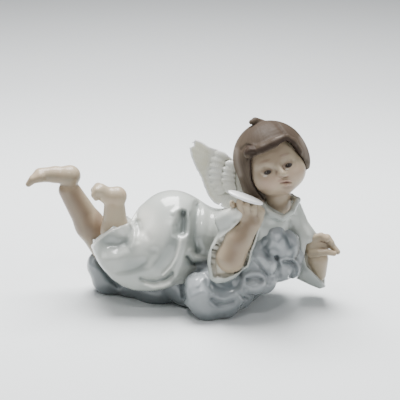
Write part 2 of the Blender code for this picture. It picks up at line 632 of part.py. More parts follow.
def far_wing():
    mirror = far_wing_mirror()
    near = near_wing()
    turn = np.array(mirror.to_3x3())
    shift = np.array(mirror.translation)
    return Form(lambda p: near.field((p - shift) @ turn), [mirror @ bead for bead in near.beads])


def cloud():
    puffs = [
        egg((19, 6, 15), (40, 34, 24)),
        egg((-22, 14, 9), (34, 21, 15)), ball((-18, 6, 6), 18),
        egg((22, 5, 33), (36, 20, 16)), ball((43.5, -21, 32), 9.5), ball((22, -26, 22), 11.0),
        ball((60, -16.5, 52), 9.8), ball((54, -17, 46), 8.0),
        ball((66, -11, 44), 13.0), ball((71.7, -10, 28.0), 8.6), ball((56, -23, 37), 8.5),
        ball((76.0, -6.0, 34.5), 6.8),
        ball((64.5, -14, 29), 9.6), ball((53.5, -21, 23), 9.6), ball((47.5, -28, 25), 8.5),
        ball((11, -28, 18), 13.5), ball((27, -29, 10.5), 11.5), ball((37, -22, 13), 10.5),
        ball((49, -20, 41), 9.5), ball((31, -29, 20), 12), ball((16, -29.5, 9.5), 12.3),
        ball((-57.5, 14, 19.5), 11.5), ball((-53, 14, 10), 13), ball((60, 8, 30), 13), ball((40, 24, 22), 15),
        ball((10, 30, 16), 15), ball((-20, 24, 13), 14), ball((28, 32, 12), 13),
    ]
    form = blend(3.0, *puffs)
    swirls = [
        ([(20.2, 11.4), (25.6, 9.4), (30.9, 9.4), (36.3, 12.7)], 3.0, -1.2),
        ([(39.6, 12.7), (41, 17.4), (45, 20.1), (50.3, 20.1), (54.3, 16.8), (53.7, 12.1),
          (49.7, 8.7), (44.3, 8.1)], 2.0, 1.5),
        ([(43, 15.8), (47.6, 16.8), (51.7, 15.8)], 1.7, -2.2),
        ([(42.3, 11.7), (47, 10.7), (51.7, 12.7)], 1.4, 0.8),
        ([(16.2, 6.7), (21.6, 4.1), (26.9, 3), (34.9, 6.1), (39, 9.4)], 1.9, 1.4),
        ([(18.9, 2.7), (22.2, -0.3), (27.6, 0), (32.9, 1.4)], 1.7, -1.8),
        ([(36.3, 6.7), (39, 4.1), (42.3, 2)], 1.2, -1.5),
        ([(33.6, -3.3), (37.6, -0.6), (44.3, 3)], 1.7, 0.8),
        ([(4.8, 2.7), (8.8, 6.1), (12.9, 8.1)], 2.8, 1.4),
        ([(2.8, 22.7), (7.5, 24), (14.9, 23.4)], 1.8, 1.1),
        ([(4.8, 17.3), (9.5, 19), (14.2, 18.7)], 1.1, -0.9),
        ([(9.5, 12), (11.5, 14.6), (13.5, 16.6)], 1.5, 1.0),
        ([(15.5, 17.3), (15.2, 11.3), (18.2, 6.6)], 1.5, -1.4),
        ([(-0.9, 22), (-1.2, 12.6), (0.1, 3.2)], 2.0, -2.8),
        ([(55.3, 48.6), (56.3, 41.8), (53.9, 36.4), (56.9, 32), (61.7, 30)], 1.9, -1.5),
        ([(59, 47.3), (60.3, 41.8), (63.7, 37.1)], 2.4, 0.8),
        ([(67.8, 47.3), (71.2, 40.5), (73.2, 33.7), (71.2, 31)], 1.8, -0.9),
        ([(67.9, 27.2), (72, 26.8), (75.1, 24.1), (75.4, 20), (72.7, 16.6)], 1.6, -1.9),
        ([(65.2, 28.5), (70.6, 29.9), (76.1, 27.5), (78.8, 22.8), (78.1, 18)], 1.5, 1.2),
        ([(65.9, 25.5), (69.3, 23.4), (71.3, 20)], 1.7, 1.1),
        ([(50, 31.2), (54.7, 29.8), (58.1, 26.4), (58.8, 21)], 2.0, 1.4),
        ([(47.2, 28.5), (51.3, 24.5), (55.3, 18.4), (56.6, 13.1)], 1.5, -1.3),
        ([(62.4, 29.6), (63.7, 24.2), (64.4, 17.4)], 1.7, -1.4),
        ([(-60.4, 25.8), (-57, 21), (-52.2, 14.8), (-46, 8.6)], 1.8, -2.2),
        ([(10, 22), (16, 26), (22, 23)], 1.8, -1.0),
    ]
    form = drawn_in_front(form, FRONT, 6.0, *swirls)
    return kept_within(form, above(0.0), 1.0)


PARTS = {
    "head": head, "hair": head_hair, "neck": neck, "robe": robe_with_folds, "near_sleeve": near_sleeve,
    "near_arm": near_arm, "near_hand": near_hand, "plate": plate, "far_sleeve": far_sleeve,
    "far_arm": far_arm, "far_hand": far_hand, "near_leg": near_leg, "far_leg": far_leg,
    "near_wing": near_wing, "far_wing": far_wing, "cloud": cloud,
}




def skin_of(names, voxel):
    """The named parts of the figure laid into one mesh, in millimetres."""
    bm = bmesh.new()
    for name in names:
        mesh = modelled(name, PARTS[name](), voxel)
        bm.from_mesh(mesh)
        bpy.data.meshes.remove(mesh)
    mesh = bpy.data.meshes.new("figure")
    bm.to_mesh(mesh)
    bm.free()
    return mesh


def weigh(mesh, group):
    """Weights that let the facets grow, less so on the face, the hands, the feet and the wings."""
    co = np.empty(len(mesh.vertices) * 3)
    mesh.vertices.foreach_get("co", co)
    co = co.reshape(-1, 3)
    keep = np.zeros(len(co))
    for centre, reach, weight in KEPT_FINE:
        away = np.sqrt(((co - np.array(centre)) ** 2).sum(1)) / reach
        keep = np.maximum(keep, weight * smooth_step(1.6 - away))
    levels = np.round((1.0 - keep) * 20).astype(int)
    for level in range(1, 21):
        chosen = np.flatnonzero(levels == level)
        group.add([int(i) for i in chosen], level / 20.0, "REPLACE")


def fewer_facets(mesh, count):
    thing = bpy.data.objects.new("figure", mesh)
    bpy.context.scene.collection.objects.link(thing)
    weigh(mesh, thing.vertex_groups.new(name="coarse"))
    modifier = thing.modifiers.new("fewer facets", "DECIMATE")
    modifier.ratio = count / (2.0 * len(mesh.polygons))
    modifier.vertex_group = "coarse"
    modifier.vertex_group_factor = 1.0
    graph = bpy.context.evaluated_depsgraph_get()
    made = bpy.data.meshes.new_from_object(thing.evaluated_get(graph))
    bpy.data.objects.remove(thing)
    bpy.data.meshes.remove(mesh)
    return made


def set_flat(mesh, level):
    """Cuts the underside flat at a level, closes it, and stands the figure over the origin."""
    bm = bmesh.new()
    bm.from_mesh(mesh)
    everything = list(bm.verts) + list(bm.edges) + list(bm.faces)
    bmesh.ops.bisect_plane(bm, geom=everything, dist=0.0001, plane_co=(0, 0, level), plane_no=(0, 0, 1),
                           clear_inner=True)
    rim = [edge for edge in bm.edges if edge.is_boundary]
    bmesh.ops.holes_fill(bm, edges=rim, sides=0)
    bmesh.ops.triangulate(bm, faces=bm.faces)
    bmesh.ops.recalc_face_normals(bm, faces=bm.faces)
    xs = [vert.co.x for vert in bm.verts]
    ys = [vert.co.y for vert in bm.verts]
    middle = Vector((max(xs) + min(xs), max(ys) + min(ys), 2 * level)) / 2
    bmesh.ops.translate(bm, verts=bm.verts, vec=-middle)
    bm.to_mesh(mesh)
    bm.free()


def glazed_porcelain():
    material = bpy.data.materials.new("glazed_porcelain")
    material.use_nodes = True
    shader = material.node_tree.nodes["Principled BSDF"]
    shader.inputs["Base Color"].default_value = (0.62, 0.64, 0.62, 1.0)
    shader.inputs["Roughness"].default_value = 0.2
    return material


def main():
    for thing in list(bpy.data.objects):
        bpy.data.objects.remove(thing)
    mesh = skin_of(PARTS, ROUGH_VOXEL)
    mesh = changed_by(mesh, "REMESH", mode="VOXEL", voxel_size=ONE_SKIN_VOXEL)
    mesh = fewer_facets(mesh, FACETS)
    set_flat(mesh, UNDERSIDE)
    mesh.transform(Matrix.Scale(MM, 4))
    mesh.name = "angel_figurine"
    figure = bpy.data.objects.new("angel_figurine", mesh)
    bpy.context.scene.collection.objects.link(figure)
    mesh.materials.append(glazed_porcelain())


if __name__ == "__main__":
    main()
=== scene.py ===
"""Dresses the porcelain angel figurine: face and hair, robe, limbs, wings, plate and cloud.

The figure is modelled as a potter builds one. Balls, eggs and tapered rolls of clay are laid
together, their joins are smoothed, and folds, locks and feathers are drawn in as strokes. All
of the clay work is in millimetres, and each finished piece is set into the frame in metres.
"""

import json
import math

import bmesh
import bpy
import numpy as np
from mathutils import Euler, Matrix, Vector

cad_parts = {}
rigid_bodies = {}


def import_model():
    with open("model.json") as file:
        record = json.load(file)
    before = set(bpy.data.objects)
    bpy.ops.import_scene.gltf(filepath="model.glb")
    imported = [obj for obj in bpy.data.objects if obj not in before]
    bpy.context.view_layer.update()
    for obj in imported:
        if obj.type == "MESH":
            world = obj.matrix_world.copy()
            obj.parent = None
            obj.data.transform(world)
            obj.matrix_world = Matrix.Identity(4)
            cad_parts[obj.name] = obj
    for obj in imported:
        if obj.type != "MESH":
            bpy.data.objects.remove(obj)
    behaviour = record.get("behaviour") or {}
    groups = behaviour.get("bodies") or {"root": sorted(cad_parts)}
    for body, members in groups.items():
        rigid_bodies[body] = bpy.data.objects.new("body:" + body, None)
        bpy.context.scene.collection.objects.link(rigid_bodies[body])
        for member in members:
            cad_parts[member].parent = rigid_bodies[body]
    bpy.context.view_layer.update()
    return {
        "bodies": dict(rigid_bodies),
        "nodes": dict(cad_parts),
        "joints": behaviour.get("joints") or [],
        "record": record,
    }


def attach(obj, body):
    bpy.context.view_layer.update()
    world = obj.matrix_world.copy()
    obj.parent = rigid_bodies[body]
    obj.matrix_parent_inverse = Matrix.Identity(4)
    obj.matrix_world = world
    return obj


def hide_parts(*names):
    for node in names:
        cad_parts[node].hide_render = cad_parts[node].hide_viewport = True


bl_info = {
    "name": "Porcelain Angel Figurine",
    "version": (1, 0, 0),
    "blender": (4, 5, 0),
    "location": "View3D > Sidebar > Figurine",
    "description": "Models and glazes a porcelain angel lying on a cloud",
    "category": "Add Mesh",
}

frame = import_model()
NODE = "angel_figurine"

# From the clay's millimetres to the frame's metres, with the underside over the origin
STAND = (0.387, -0.824, -0.5)
MM = 0.001

WING_THICKNESS = 0.0028
SLEEVE_HOLLOW = 0.0045
HEM_HOLLOW = 0.004
PLATE_LENGTH = 0.0248
PLATE_WIDTH = 0.0135
PLATE_THICKNESS = 0.0028

# Colours of the painted shade on what faces down and of the room, and how far up the cloud stands in
# its own painted shade
UNDERSIDE_SHADE = (0.42, 0.42, 0.41)
SKY = (0.96, 0.985, 1, 1)
SHADED_UP_TO = 0.034

# The studio's lights, in metres: name, place and size; the point they all face; the camera's film
LIGHTS = (
    ("overhead", (-0.06, 0.27, 0.92), 0.6),
    ("lamp", (-0.12, -0.5, 0.85), 0.1),
    ("left_window", (-0.85, -0.12, 0.55), 0.4),
    ("right_window", (0.6, -0.4, 0.4), 0.4),
)
LIT_POINT = (0, 0, 0.06)
FILM_WIDTH = 36

# Paint brushed on from the front, in lines with their widths; first the painted shade under the fringe
# and along the hair's edge
FRINGE_SHADE = [
    ([(67.1, 108.5), (62.5, 106.9), (57.3, 104.3), (51.4, 101.7), (46.2, 100), (41.6, 100.4)], 2.2),
    ([(67.8, 108.5), (71, 106.6), (73.7, 103.6), (76, 99.7)], 1.9),
    ([(44.4, 97.9), (44.4, 92), (44.7, 85.4), (46.3, 79.5), (49.6, 74.9), (52.9, 70.3)], 1.5),
    ([(43, 103.7), (45, 102.4)], 2.4),
]
# The long outer feathers, inside one outline of the front view
PRIMARIES = [(2.7, 112.2), (12.2, 108.1), (18.3, 101.4), (16.3, 93.3), (14.9, 86.5), (16.9, 77.1),
             (21.7, 64.9), (7.5, 69), (0, 102.7)]

# How far back paint goes: over the front of the hair, and over a whole piece
HAIR_BACK = -43
ALL_THROUGH = 10

# Patches of shade on the face: across, up, half width, half height, strength and lean
FACE_SHADE = [
    (-4, 7, 13, 7, 0.5, 0.2), (-15, -6, 6, 15, 0.4, 0), (1.5, -21, 12, 5, 0.5, 0),
    (-0.2, -8.2, 3.2, 0.9, 0.85, 0.2), (-3.4, -4.6, 1.2, 2.8, 0.45, -0.3),
    (0.9, -16.4, 3.8, 1.4, 0.75, 0.3), (-1.9, -7.2, 1.9, 0.9, 0.55, 0.25),
]
LIP_LEAN = 0.3

# Shade and light on the head, the limbs, the robe, the cloud and the hair
HEAD_PAINT = [
    ([(53.3, 74.3), (58.6, 71.3), (65.2, 70.9), (71.9, 73.6)], 3.6),
    ([(61.6, 66.3), (66.9, 64.3), (72.3, 68.3)], 4),
]
LIMB_PAINT = [
    ([(44.7, 55), (40.1, 48.4), (34.8, 39.1), (31.4, 30.4)], 5.5),
    ([(-58.4, 60.6), (-59.1, 52.3), (-61.2, 44)], 4),
    ([(-85.4, 74.5), (-79.2, 62), (-72.3, 46.8)], 4),
    ([(-75, 71.7), (-68.1, 59.3), (-64, 45.4)], 5),
]
ROBE_HIGHLIGHT = [
    ([(28.9, 62.9), (32.9, 61.6), (36.9, 59.6)], 3.4),
    ([(39.5, 57.6), (31.5, 50.3), (24.9, 44.9), (19.5, 37.6)], 1),
    ([(-24.9, 58.2), (-21.5, 51.4), (-25.6, 44.7)], 7),
    ([(-2.3, 42), (-3, 37.3), (-5, 30.5), (-8.4, 24.5), (-14.1, 18.7)], 0.8),
    ([(-10.1, 13), (-14.1, 11), (-20.8, 10.3), (-25.6, 12.3)], 1.3),
    ([(-62.8, 36.5), (-59.4, 40.9), (-54.7, 45), (-47.9, 49.4), (-41.9, 51.4), (-36.4, 53.1)], 0.9),
]
ROBE_PAINT = [
    ([(-52, 42.6), (-45.9, 39.9), (-39.8, 39.9)], 6.5),
    ([(-36.4, 24.4), (-29, 24.4)], 5.5),
    ([(-17.5, 26.5), (-10.1, 35.2), (-5.3, 44.7)], 4.5),
    ([(0.1, 60.2), (0.1, 48)], 2.2),
    ([(-3.3, 52.8), (-5.3, 46)], 4.5),
    ([(4.1, 59.5), (4.1, 47.4), (8.8, 37.9)], 5.5),
    ([(2.8, 26.4), (12.2, 24.4)], 2.6),
    ([(81.4, 23), (86.2, 15.5), (92.4, 10.7)], 4),
]
CLOUD_PAINT = [
    ([(20.2, 12.7), (26.9, 10.7), (34.9, 12.7)], 4.5),
    ([(-58.7, 23.3), (-53.9, 16.5), (-48.4, 10.3)], 3),
    ([(53.5, 47.3), (54.1, 37.8), (56.8, 31.1)], 2.6),
    ([(67.8, 44.5), (72.5, 36.4), (74.6, 29.6)], 2.4),
    ([(-0.5, 20.7), (-0.5, 11.3)], 2.5),
]
HAIR_HIGHLIGHT = [
    ([(78.1, 109.8), (80.1, 103.9), (81.4, 97.3)], 1.8),
    ([(34.9, 102.3), (35.2, 94.3), (37.5, 85.6)], 1.5),
    ([(64.1, 110.7), (60.1, 109.4)], 0.3),
]
SIDE_SHADE = [
    ([(41.3, 100.7), (39.3, 93.4), (40.6, 84.2), (43.9, 76.9), (49.2, 70.9)], 4),
    ([(80.1, 102.1), (81.1, 96.8), (80.5, 92.2)], 1.8),
]


class Form:
    """A distance field in millimetres, and the balls that its first rough mesh is made of."""

    def __init__(self, field, beads):
        self.field = field
        self.beads = beads


def egg(centre, radii, turn=(0, 0, 0)):
    """An ellipsoid; turn is in degrees about X, Y and Z, or a rotation."""
    rotation = turn if isinstance(turn, Matrix) else Euler([math.radians(a) for a in turn]).to_matrix()
    r = np.array(radii, float)
    c = np.array(centre, float)
    to_local = np.array(rotation)

    def field(p):
        q = (p - c) @ to_local / r
        near = np.sqrt((q * q).sum(1)) + 1e-9
        slope = np.sqrt(((q / r) ** 2).sum(1)) + 1e-9
        return near * (near - 1) / slope

    bead = Matrix.Translation(centre) @ rotation.to_4x4() @ Matrix.Diagonal((*radii, 1))
    return Form(field, [bead])


def ball(centre, radius):
    return egg(centre, (radius, radius, radius))


def roll(*stations, soft=0):
    """A tapered roll of clay through stations of (point, radius)."""
    points = np.array([s[0] for s in stations], float)
    radii = np.array([s[1] for s in stations], float)

    def field(p):
        out = None
        for a, b, ra, rb in zip(points[:-1], points[1:], radii[:-1], radii[1:]):
            along = b - a
            t = np.clip((p - a) @ along / (along @ along), 0, 1)
            d = np.sqrt(((p - a - t[:, None] * along) ** 2).sum(1)) - (ra + (rb - ra) * t)
            out = d if out is None else smooth_min(out, d, soft)
        return out

    beads = []
    for a, b, ra, rb in zip(points[:-1], points[1:], radii[:-1], radii[1:]):
        count = max(2, int(np.linalg.norm(b - a) / (0.35 * min(ra, rb))) + 1)
        for t in np.linspace(0, 1, count):
            radius = ra + (rb - ra) * t
            beads.append(Matrix.Translation(a + (b - a) * t) @ Matrix.Scale(radius, 4))
    return Form(field, beads)


def smooth_min(a, b, soft):
    """The lesser of two distances, with their join rounded over a width of soft."""
    if soft <= 0:
        return np.minimum(a, b)
    share = np.maximum(soft - np.abs(a - b), 0) / soft
    return np.minimum(a, b) - share * share * soft * 0.25


def blend(soft, *forms):
    def field(p):
        out = forms[0].field(p)
        for form in forms[1:]:
            out = smooth_min(out, form.field(p), soft)
        return out

    return Form(field, [bead for form in forms for bead in form.beads])


def within_frame(frame, p):
    """Points as a frame sees them: across, back and up."""
    return (p - np.array(frame.translation)) @ np.array(frame.to_3x3())


def placed(form, matrix):
    """The form moved, turned or mirrored by a matrix."""
    return Form(lambda p: form.field(within_frame(matrix, p)), [matrix @ bead for bead in form.beads])


def squeezed(form, centre, along, share):
    """The form made thinner along a direction, to a share of its thickness."""
    c = np.array(centre, float)
    n = np.array(Vector(along).normalized())
    squeeze = Matrix.Translation(centre) @ Matrix.Scale(share, 4, Vector(along).normalized())
    squeeze = squeeze @ Matrix.Translation(-Vector(centre))

    def field(p):
        away = (p - c) @ n
        return form.field(p + np.outer(away * (1 / share - 1), n)) * share

    return Form(field, [squeeze @ bead for bead in form.beads])


def kept_within(form, limit, soft):
    """The part of the form that lies inside the limit."""
    return Form(lambda p: -smooth_min(-form.field(p), -limit.field(p), soft), form.beads)


def outline(points):
    """An endless upright prism along Y over an outline of (x, z) points."""
    corners = np.array(points, float)

    def field(p):
        q = p[:, (0, 2)]
        nearest = np.full(len(q), 1e9)
        inside = np.zeros(len(q), bool)
        for a, b in zip(corners, np.roll(corners, -1, axis=0)):
            along = b - a
            t = np.clip((q - a) @ along / (along @ along), 0, 1)
            nearest = np.minimum(nearest, ((q - a - t[:, None] * along) ** 2).sum(1))
            crosses = (a[1] > q[:, 1]) != (b[1] > q[:, 1])
            rise = b[1] - a[1] if b[1] != a[1] else 1e-9
            inside ^= crosses & (q[:, 0] < a[0] + (q[:, 1] - a[1]) / rise * along[0])
        return np.where(inside, -1, 1) * np.sqrt(nearest)

    return Form(field, [])


def above(height):
    """Everything above a level."""
    return Form(lambda p: height - p[:, 2], [])


def field_and_slope(form, p):
    """The field and its gradient at each point, from four samples round it."""
    step = 0.05
    corners = np.array([(1, -1, -1), (-1, -1, 1), (-1, 1, -1), (1, 1, 1)], float)
    samples = [form.field(p + step * corner) for corner in corners]
    slope = sum(s[:, None] * corner for s, corner in zip(samples, corners)) / (4 * step)
    return sum(samples) / 4, slope


def places(mesh):
    co = np.empty(len(mesh.vertices) * 3)
    mesh.vertices.foreach_get("co", co)
    return co.reshape(-1, 3)


def settle(mesh, form, steps, most=1.5):
    """Moves each vertex onto the surface where the form's field is nothing."""
    co = places(mesh)
    for _ in range(steps):
        value, slope = field_and_slope(form, co)
        steep = np.maximum((slope * slope).sum(1), 0.15)
        co -= slope * (np.clip(value, -most, most) / steep)[:, None]
    mesh.vertices.foreach_set("co", co.ravel())
    mesh.update()


def changed_by(mesh, kind, **settings):
    """The mesh as a modifier leaves it."""
    thing = bpy.data.objects.new("step", mesh)
    bpy.context.scene.collection.objects.link(thing)
    modifier = thing.modifiers.new("step", kind)
    for name, value in settings.items():
        setattr(modifier, name, value)
    graph = bpy.context.evaluated_depsgraph_get()
    made = bpy.data.meshes.new_from_object(thing.evaluated_get(graph))
    bpy.data.objects.remove(thing)
    bpy.data.meshes.remove(mesh)
    return made


def modelled(name, form, voxel):
    """A closed mesh of a form, in millimetres: balls, made one skin, then pressed to the form."""
    mesh = bpy.data.meshes.new(name)
    bm = bmesh.new()
    for bead in form.beads:
        bmesh.ops.create_icosphere(bm, subdivisions=2, radius=1, matrix=bead)
    bm.to_mesh(mesh)
    bm.free()
    for size, steps in ((1.8 * voxel, 10), (voxel, 4), (voxel, 2)):
        mesh = changed_by(mesh, "REMESH", mode="VOXEL", voxel_size=size)
        settle(mesh, form, steps)
    mesh.name = name
    return mesh


# The pose, in millimetres
HEAD_CENTRE = (59.5, -8, 104.5)
HEAD_TURN = (-11, -15.5, 12)
EYE_MIDDLE = -1.6
EYE_LEVEL = -2.6
NECK_TOP = (62.5, -6, 86)
NECK_BASE = (63.5, -3, 66)
HIPS = (-8, 2, 52.5)
WAIST = (20, 1, 46.5)
CHEST = (54, -4, 58)
NEAR_SHOULDER = (40, -17, 61)
FAR_SHOULDER = (72.5, 4, 63)
FAR_ELBOW = (86, 0, 22)
NEAR_KNEE = (-44, -6.5, 34)
NEAR_ANKLE = (-47, -7.5, 73)
FAR_KNEE = (-51, 12, 30)
FAR_ANKLE = (-79, 10, 77)
WING_ROOT = (36, 3, 66)
WING_FACING = (0.24, -0.93, 0.3)
HEM_EDGE = (-48.4, -18, 58.9)
HEM_FACING = (-0.58, 0.27, 0.77)

# The hollow of each sleeve, as the front view shows it
NEAR_CUFF = [(41, 57.7), (32.7, 50.1), (23.2, 42.8), (19, 35.8), (18.3, 25.8), (20, 17.6), (28.1, 17.6),
             (36.7, 21.4), (41.6, 25.6), (42.9, 30), (43.6, 34.8), (46, 41), (47.9, 47.5), (50.6, 56),
             (47, 61)]
FAR_CUFF = [(84, 38.5), (82.6, 30.3), (84.3, 23.4), (91.5, 16.6), (97.1, 10.6), (104, 10), (104, 31),
            (92.2, 41.4)]

# The lower edge of the skirt, as the front view shows it
SKIRT_EDGE = [(-63.8, 34.5), (-60.1, 29.1), (-54.7, 22), (-49.3, 15.6), (-42.5, 10.5), (-34.4, 7.1),
              (-22.9, 6.4), (-14.2, 7.5), (-6.7, 10.8), (78.4, 10.8), (78.4, 136.5), (-97.3, 136.5),
              (-97.3, 34.5)]

# The deep fold at the waist, as the front view shows it
NOTCH = [(-0.9, 61.9), (0.9, 60.9), (1.4, 54.1), (1.2, 46.7), (-1.9, 44), (-6, 46.7), (-6.7, 51.4),
         (-4, 57.5)]

# How far back, along the line of sight of the front view, the carving of each reaches
ROBE_BACK = -17
NEAR_CUFF_BACK = -20
FAR_CUFF_BACK = -5

# The front view that the outlines are drawn in looks down by this angle
VIEW_DROP = math.radians(20)
FRONT = Matrix.Rotation(-VIEW_DROP, 4, "X")


def seen(x, v, y):
    """The point at depth y that the front view shows x across and v up."""
    return (x, y, (v - math.sin(VIEW_DROP) * y) / math.cos(VIEW_DROP))


def seen_roll(*stations, soft=0):
    """A roll through stations of (x, v, y, radius), each where the front view shows it."""
    return roll(*[(seen(*place), radius) for *place, radius in stations], soft=soft)


def smooth_step(t):
    t = np.clip(t, 0, 1)
    return t * t * (3 - 2 * t)


def near_line(q, points):
    """The distance of each point of a plane from a line of points."""
    nearest = np.full(len(q), 1e9)
    corners = np.array(points, float)
    for a, b in zip(corners[:-1], corners[1:]):
        along = b - a
        t = np.clip((q - a) @ along / (along @ along), 0, 1)
        nearest = np.minimum(nearest, ((q - a - t[:, None] * along) ** 2).sum(1))
    return np.sqrt(nearest)


def drawn_in_front(form, frame, back, *strokes):
    """Ridges and grooves drawn from the front of a frame, on what lies nearer than a depth."""
    def field(p):
        out = form.field(p)
        q = within_frame(frame, p)
        nearer = np.flatnonzero(q[:, 1] < back)
        if len(nearer) == 0:
            return out
        plane = q[nearer][:, (0, 2)]
        fade = smooth_step((back - q[nearer, 1]) / 3)
        change = np.zeros(len(nearer))
        for points, width, height in strokes:
            d = near_line(plane, points)
            change += height * np.exp(-((d / width) ** 2))
        out[nearer] -= change * fade
        return out

    return Form(field, form.beads)


def pressed(form, frame, points, depth, edge, back):
    """The form pressed in over an outline of (x, z) points on the front of a frame."""
    shape = outline(points)

    def field(p):
        out = form.field(p)
        q = within_frame(frame, p)
        inside = smooth_step(0.5 - shape.field(q) / edge) * smooth_step((back - q[:, 1]) / 3)
        return out + depth * inside

    return Form(field, form.beads)


def face():
    """The bare head, facing -Y about its own middle."""
    skull = egg((-1, 0.5, 1), (19.6, 22.5, 22.5))
    jaw = egg((0.6, -4.5, -9.3), (16.4, 16.4, 12.4))
    cheeks = [ball((side * 7.9 - 0.3, -11.8, -8.4), 8.6) for side in (-1, 1)]
    chin = ball((0.2, -13.8, -15.8), 5)
    form = blend(6, skull, jaw, chin, *cheeks)
    nose = roll(((-1.2, -21.2, -0.4), 1.7), ((-0.2, -25.1, -5.6), 2.4))
    nostrils = [ball((side * 2.1 - 0.1, -23.1, -6.5), 1.6) for side in (-1, 1)]
    form = blend(2.2, form, nose, *nostrils)
    upper = roll(((-2.8, -20, -11.6), 0.9), ((-0.2, -22, -10.7), 1.4), ((1.8, -21.9, -11.2), 1.4),
                 ((3.9, -19.9, -13.2), 0.9))
    lower = roll(((-1.4, -20.4, -13.1), 0.9), ((0.6, -21.5, -13.8), 1.4), ((2.6, -20.4, -14.5), 0.9))
    form = blend(1.2, form, upper, lower)
    lids = ((5.6, 0.6), (9.2, 0.4))
    sockets = [([(EYE_MIDDLE + side * x, EYE_LEVEL + v) for x, v in lids], 3.4, -1.3)
               for side in (-1, 1)]
    form = drawn_in_front(form, Matrix.Identity(4), -8, *sockets)
    eyes = [ball((EYE_MIDDLE + side * 7.4, -16.6, EYE_LEVEL), 4.2) for side in (-1, 1)]
    form = blend(0.8, form, *eyes)
    mouth = ([(-3, -12), (0.3, -12), (2.2, -12.6), (4, -13.9)], 0.7, -0.6)
    arch = ((4.4, 3.2), (7.5, 4.4), (11, 3.2))
    brows = [([(EYE_MIDDLE + side * x, v) for x, v in arch], 2.4, 0.4) for side in (-1, 1)]
    return drawn_in_front(form, Matrix.Identity(4), -8, mouth, *brows)


def hair():
    """The cap of hair, pressed in over the face, with its fringe, its side locks and its tuft."""
    cap = egg((-0.8, 2.5, 2), (25, 25.2, 24.8))
    bob = egg((-15, 0.5, -13), (10, 13, 12.5), (0, 14, 0))
    flap = egg((16.6, 1, -4), (6.6, 12, 10.5), (0, -8, 0))
    nape = egg((0, 13, -13), (17, 12, 12))
    form = blend(6, cap, bob, flap, nape)
    curl = ball((-14.5, -15, 13), 4.6)
    fringe = [
        roll(((9, -19, 15.5), 2.6), ((0.5, -20.6, 14), 3.4), ((-8, -19, 12.8), 3.4),
             ((-15, -14.5, 12), 3.2), soft=2),
        roll(((9, -19, 15.5), 2.4), ((13.5, -17.5, 10.5), 2.6), ((16.2, -15.5, 3), 2), soft=2),
    ]
    form = blend(2.5, form, curl, *fringe)
    window = [(-15.6, 8.6), (-11.5, 9.4), (-6.5, 10), (-0.5, 10.6), (4.5, 12.6), (8.6, 13.2),
              (11.4, 10.6), (13.4, 6.6), (14.6, 2.2), (16.6, -2), (17.2, -9), (19, -12.5), (30, -14),
              (30, -60), (-2, -60), (-11, -27), (-15.5, -20), (-17.6, -13), (-18.4, -5),
              (-17.6, 2)]
    form = pressed(form, Matrix.Identity(4), window, 10, 1.6, 3)
    tuft = roll(((0.5, 6, 25.4), 2.8), ((-3, 4, 28.4), 2.5), ((-6.2, 2, 28.8), 1.5))
    form = blend(1.5, form, tuft)
    part = ([(10.5, 15), (9.5, 20), (7, 30)], 1.1, -0.9)
    combed = [([(10 - 0.6 * k, 18 + 2.2 * k), (1 - 1.5 * k, 19 + 1.6 * k), (-9 - 1.6 * k, 17 + 0.6 * k),
                (-18 - 0.9 * k, 8 - k), (-21 - 0.8 * k, -6), (-18 - 0.8 * k, -18)], 1, -0.28)
              for k in range(4)]
    swirl = [([(-19, 15), (-15, 17.5), (-11, 15), (-12.5, 11.5), (-16, 12.5)], 1, -0.7)]
    return drawn_in_front(form, Matrix.Identity(4), 6, part, *combed, *swirl)


def head_frame():
    turn = Euler([math.radians(a) for a in HEAD_TURN], "XYZ").to_matrix().to_4x4()
    return Matrix.Translation(HEAD_CENTRE) @ turn


def head():
    return placed(face(), head_frame())


def head_hair():
    return placed(hair(), head_frame())


def neck():
    return roll((NECK_TOP, 9.6), (NECK_BASE, 9.2))


def robe():
    hips = egg(HIPS, (25.5, 24, 25.5))
    trunk = roll((HIPS, 20), (WAIST, 16.5), (CHEST, 16), soft=8)
    shoulders = roll((NEAR_SHOULDER, 11), (CHEST, 14), (FAR_SHOULDER, 9.5), soft=6)
    near_thigh = roll(((-10, -8, 44), 20), ((-44, -12, 34), 17.5))
    far_thigh = roll(((-10, 12, 44), 19), (FAR_KNEE, 15))
    skirt = egg((-47.5, -2.5, 45), (17, 21, 24), (0, -12, 0))
    drape = egg((-20, -12, 26), (32, 15, 17), (0, -3, 6))
    rump = ball((-29, 1, 54), 9)
    form = blend(10, hips, trunk, near_thigh, far_thigh, drape, rump)
    form = blend(6, form, skirt)
    return blend(8, form, shoulders)


def hem(form):
    """The robe cut off at its hem, the cut dished so that a rim stands round the legs."""
    facing = np.array(Vector(HEM_FACING).normalized())
    edge = np.array(HEM_EDGE)

    def field(p):
        body = form.field(p)
        over = (p - edge) @ facing + 0.26 * np.maximum(p[:, 0] + 48, 0)
        over = over - 1.2 * np.maximum(p[:, 0] + 37, 0)
        over = over + 1000 * HEM_HOLLOW * smooth_step((-body - 1.2) / 5)
        return -smooth_min(-body, -over, 1.6)

    return Form(field, form.beads)


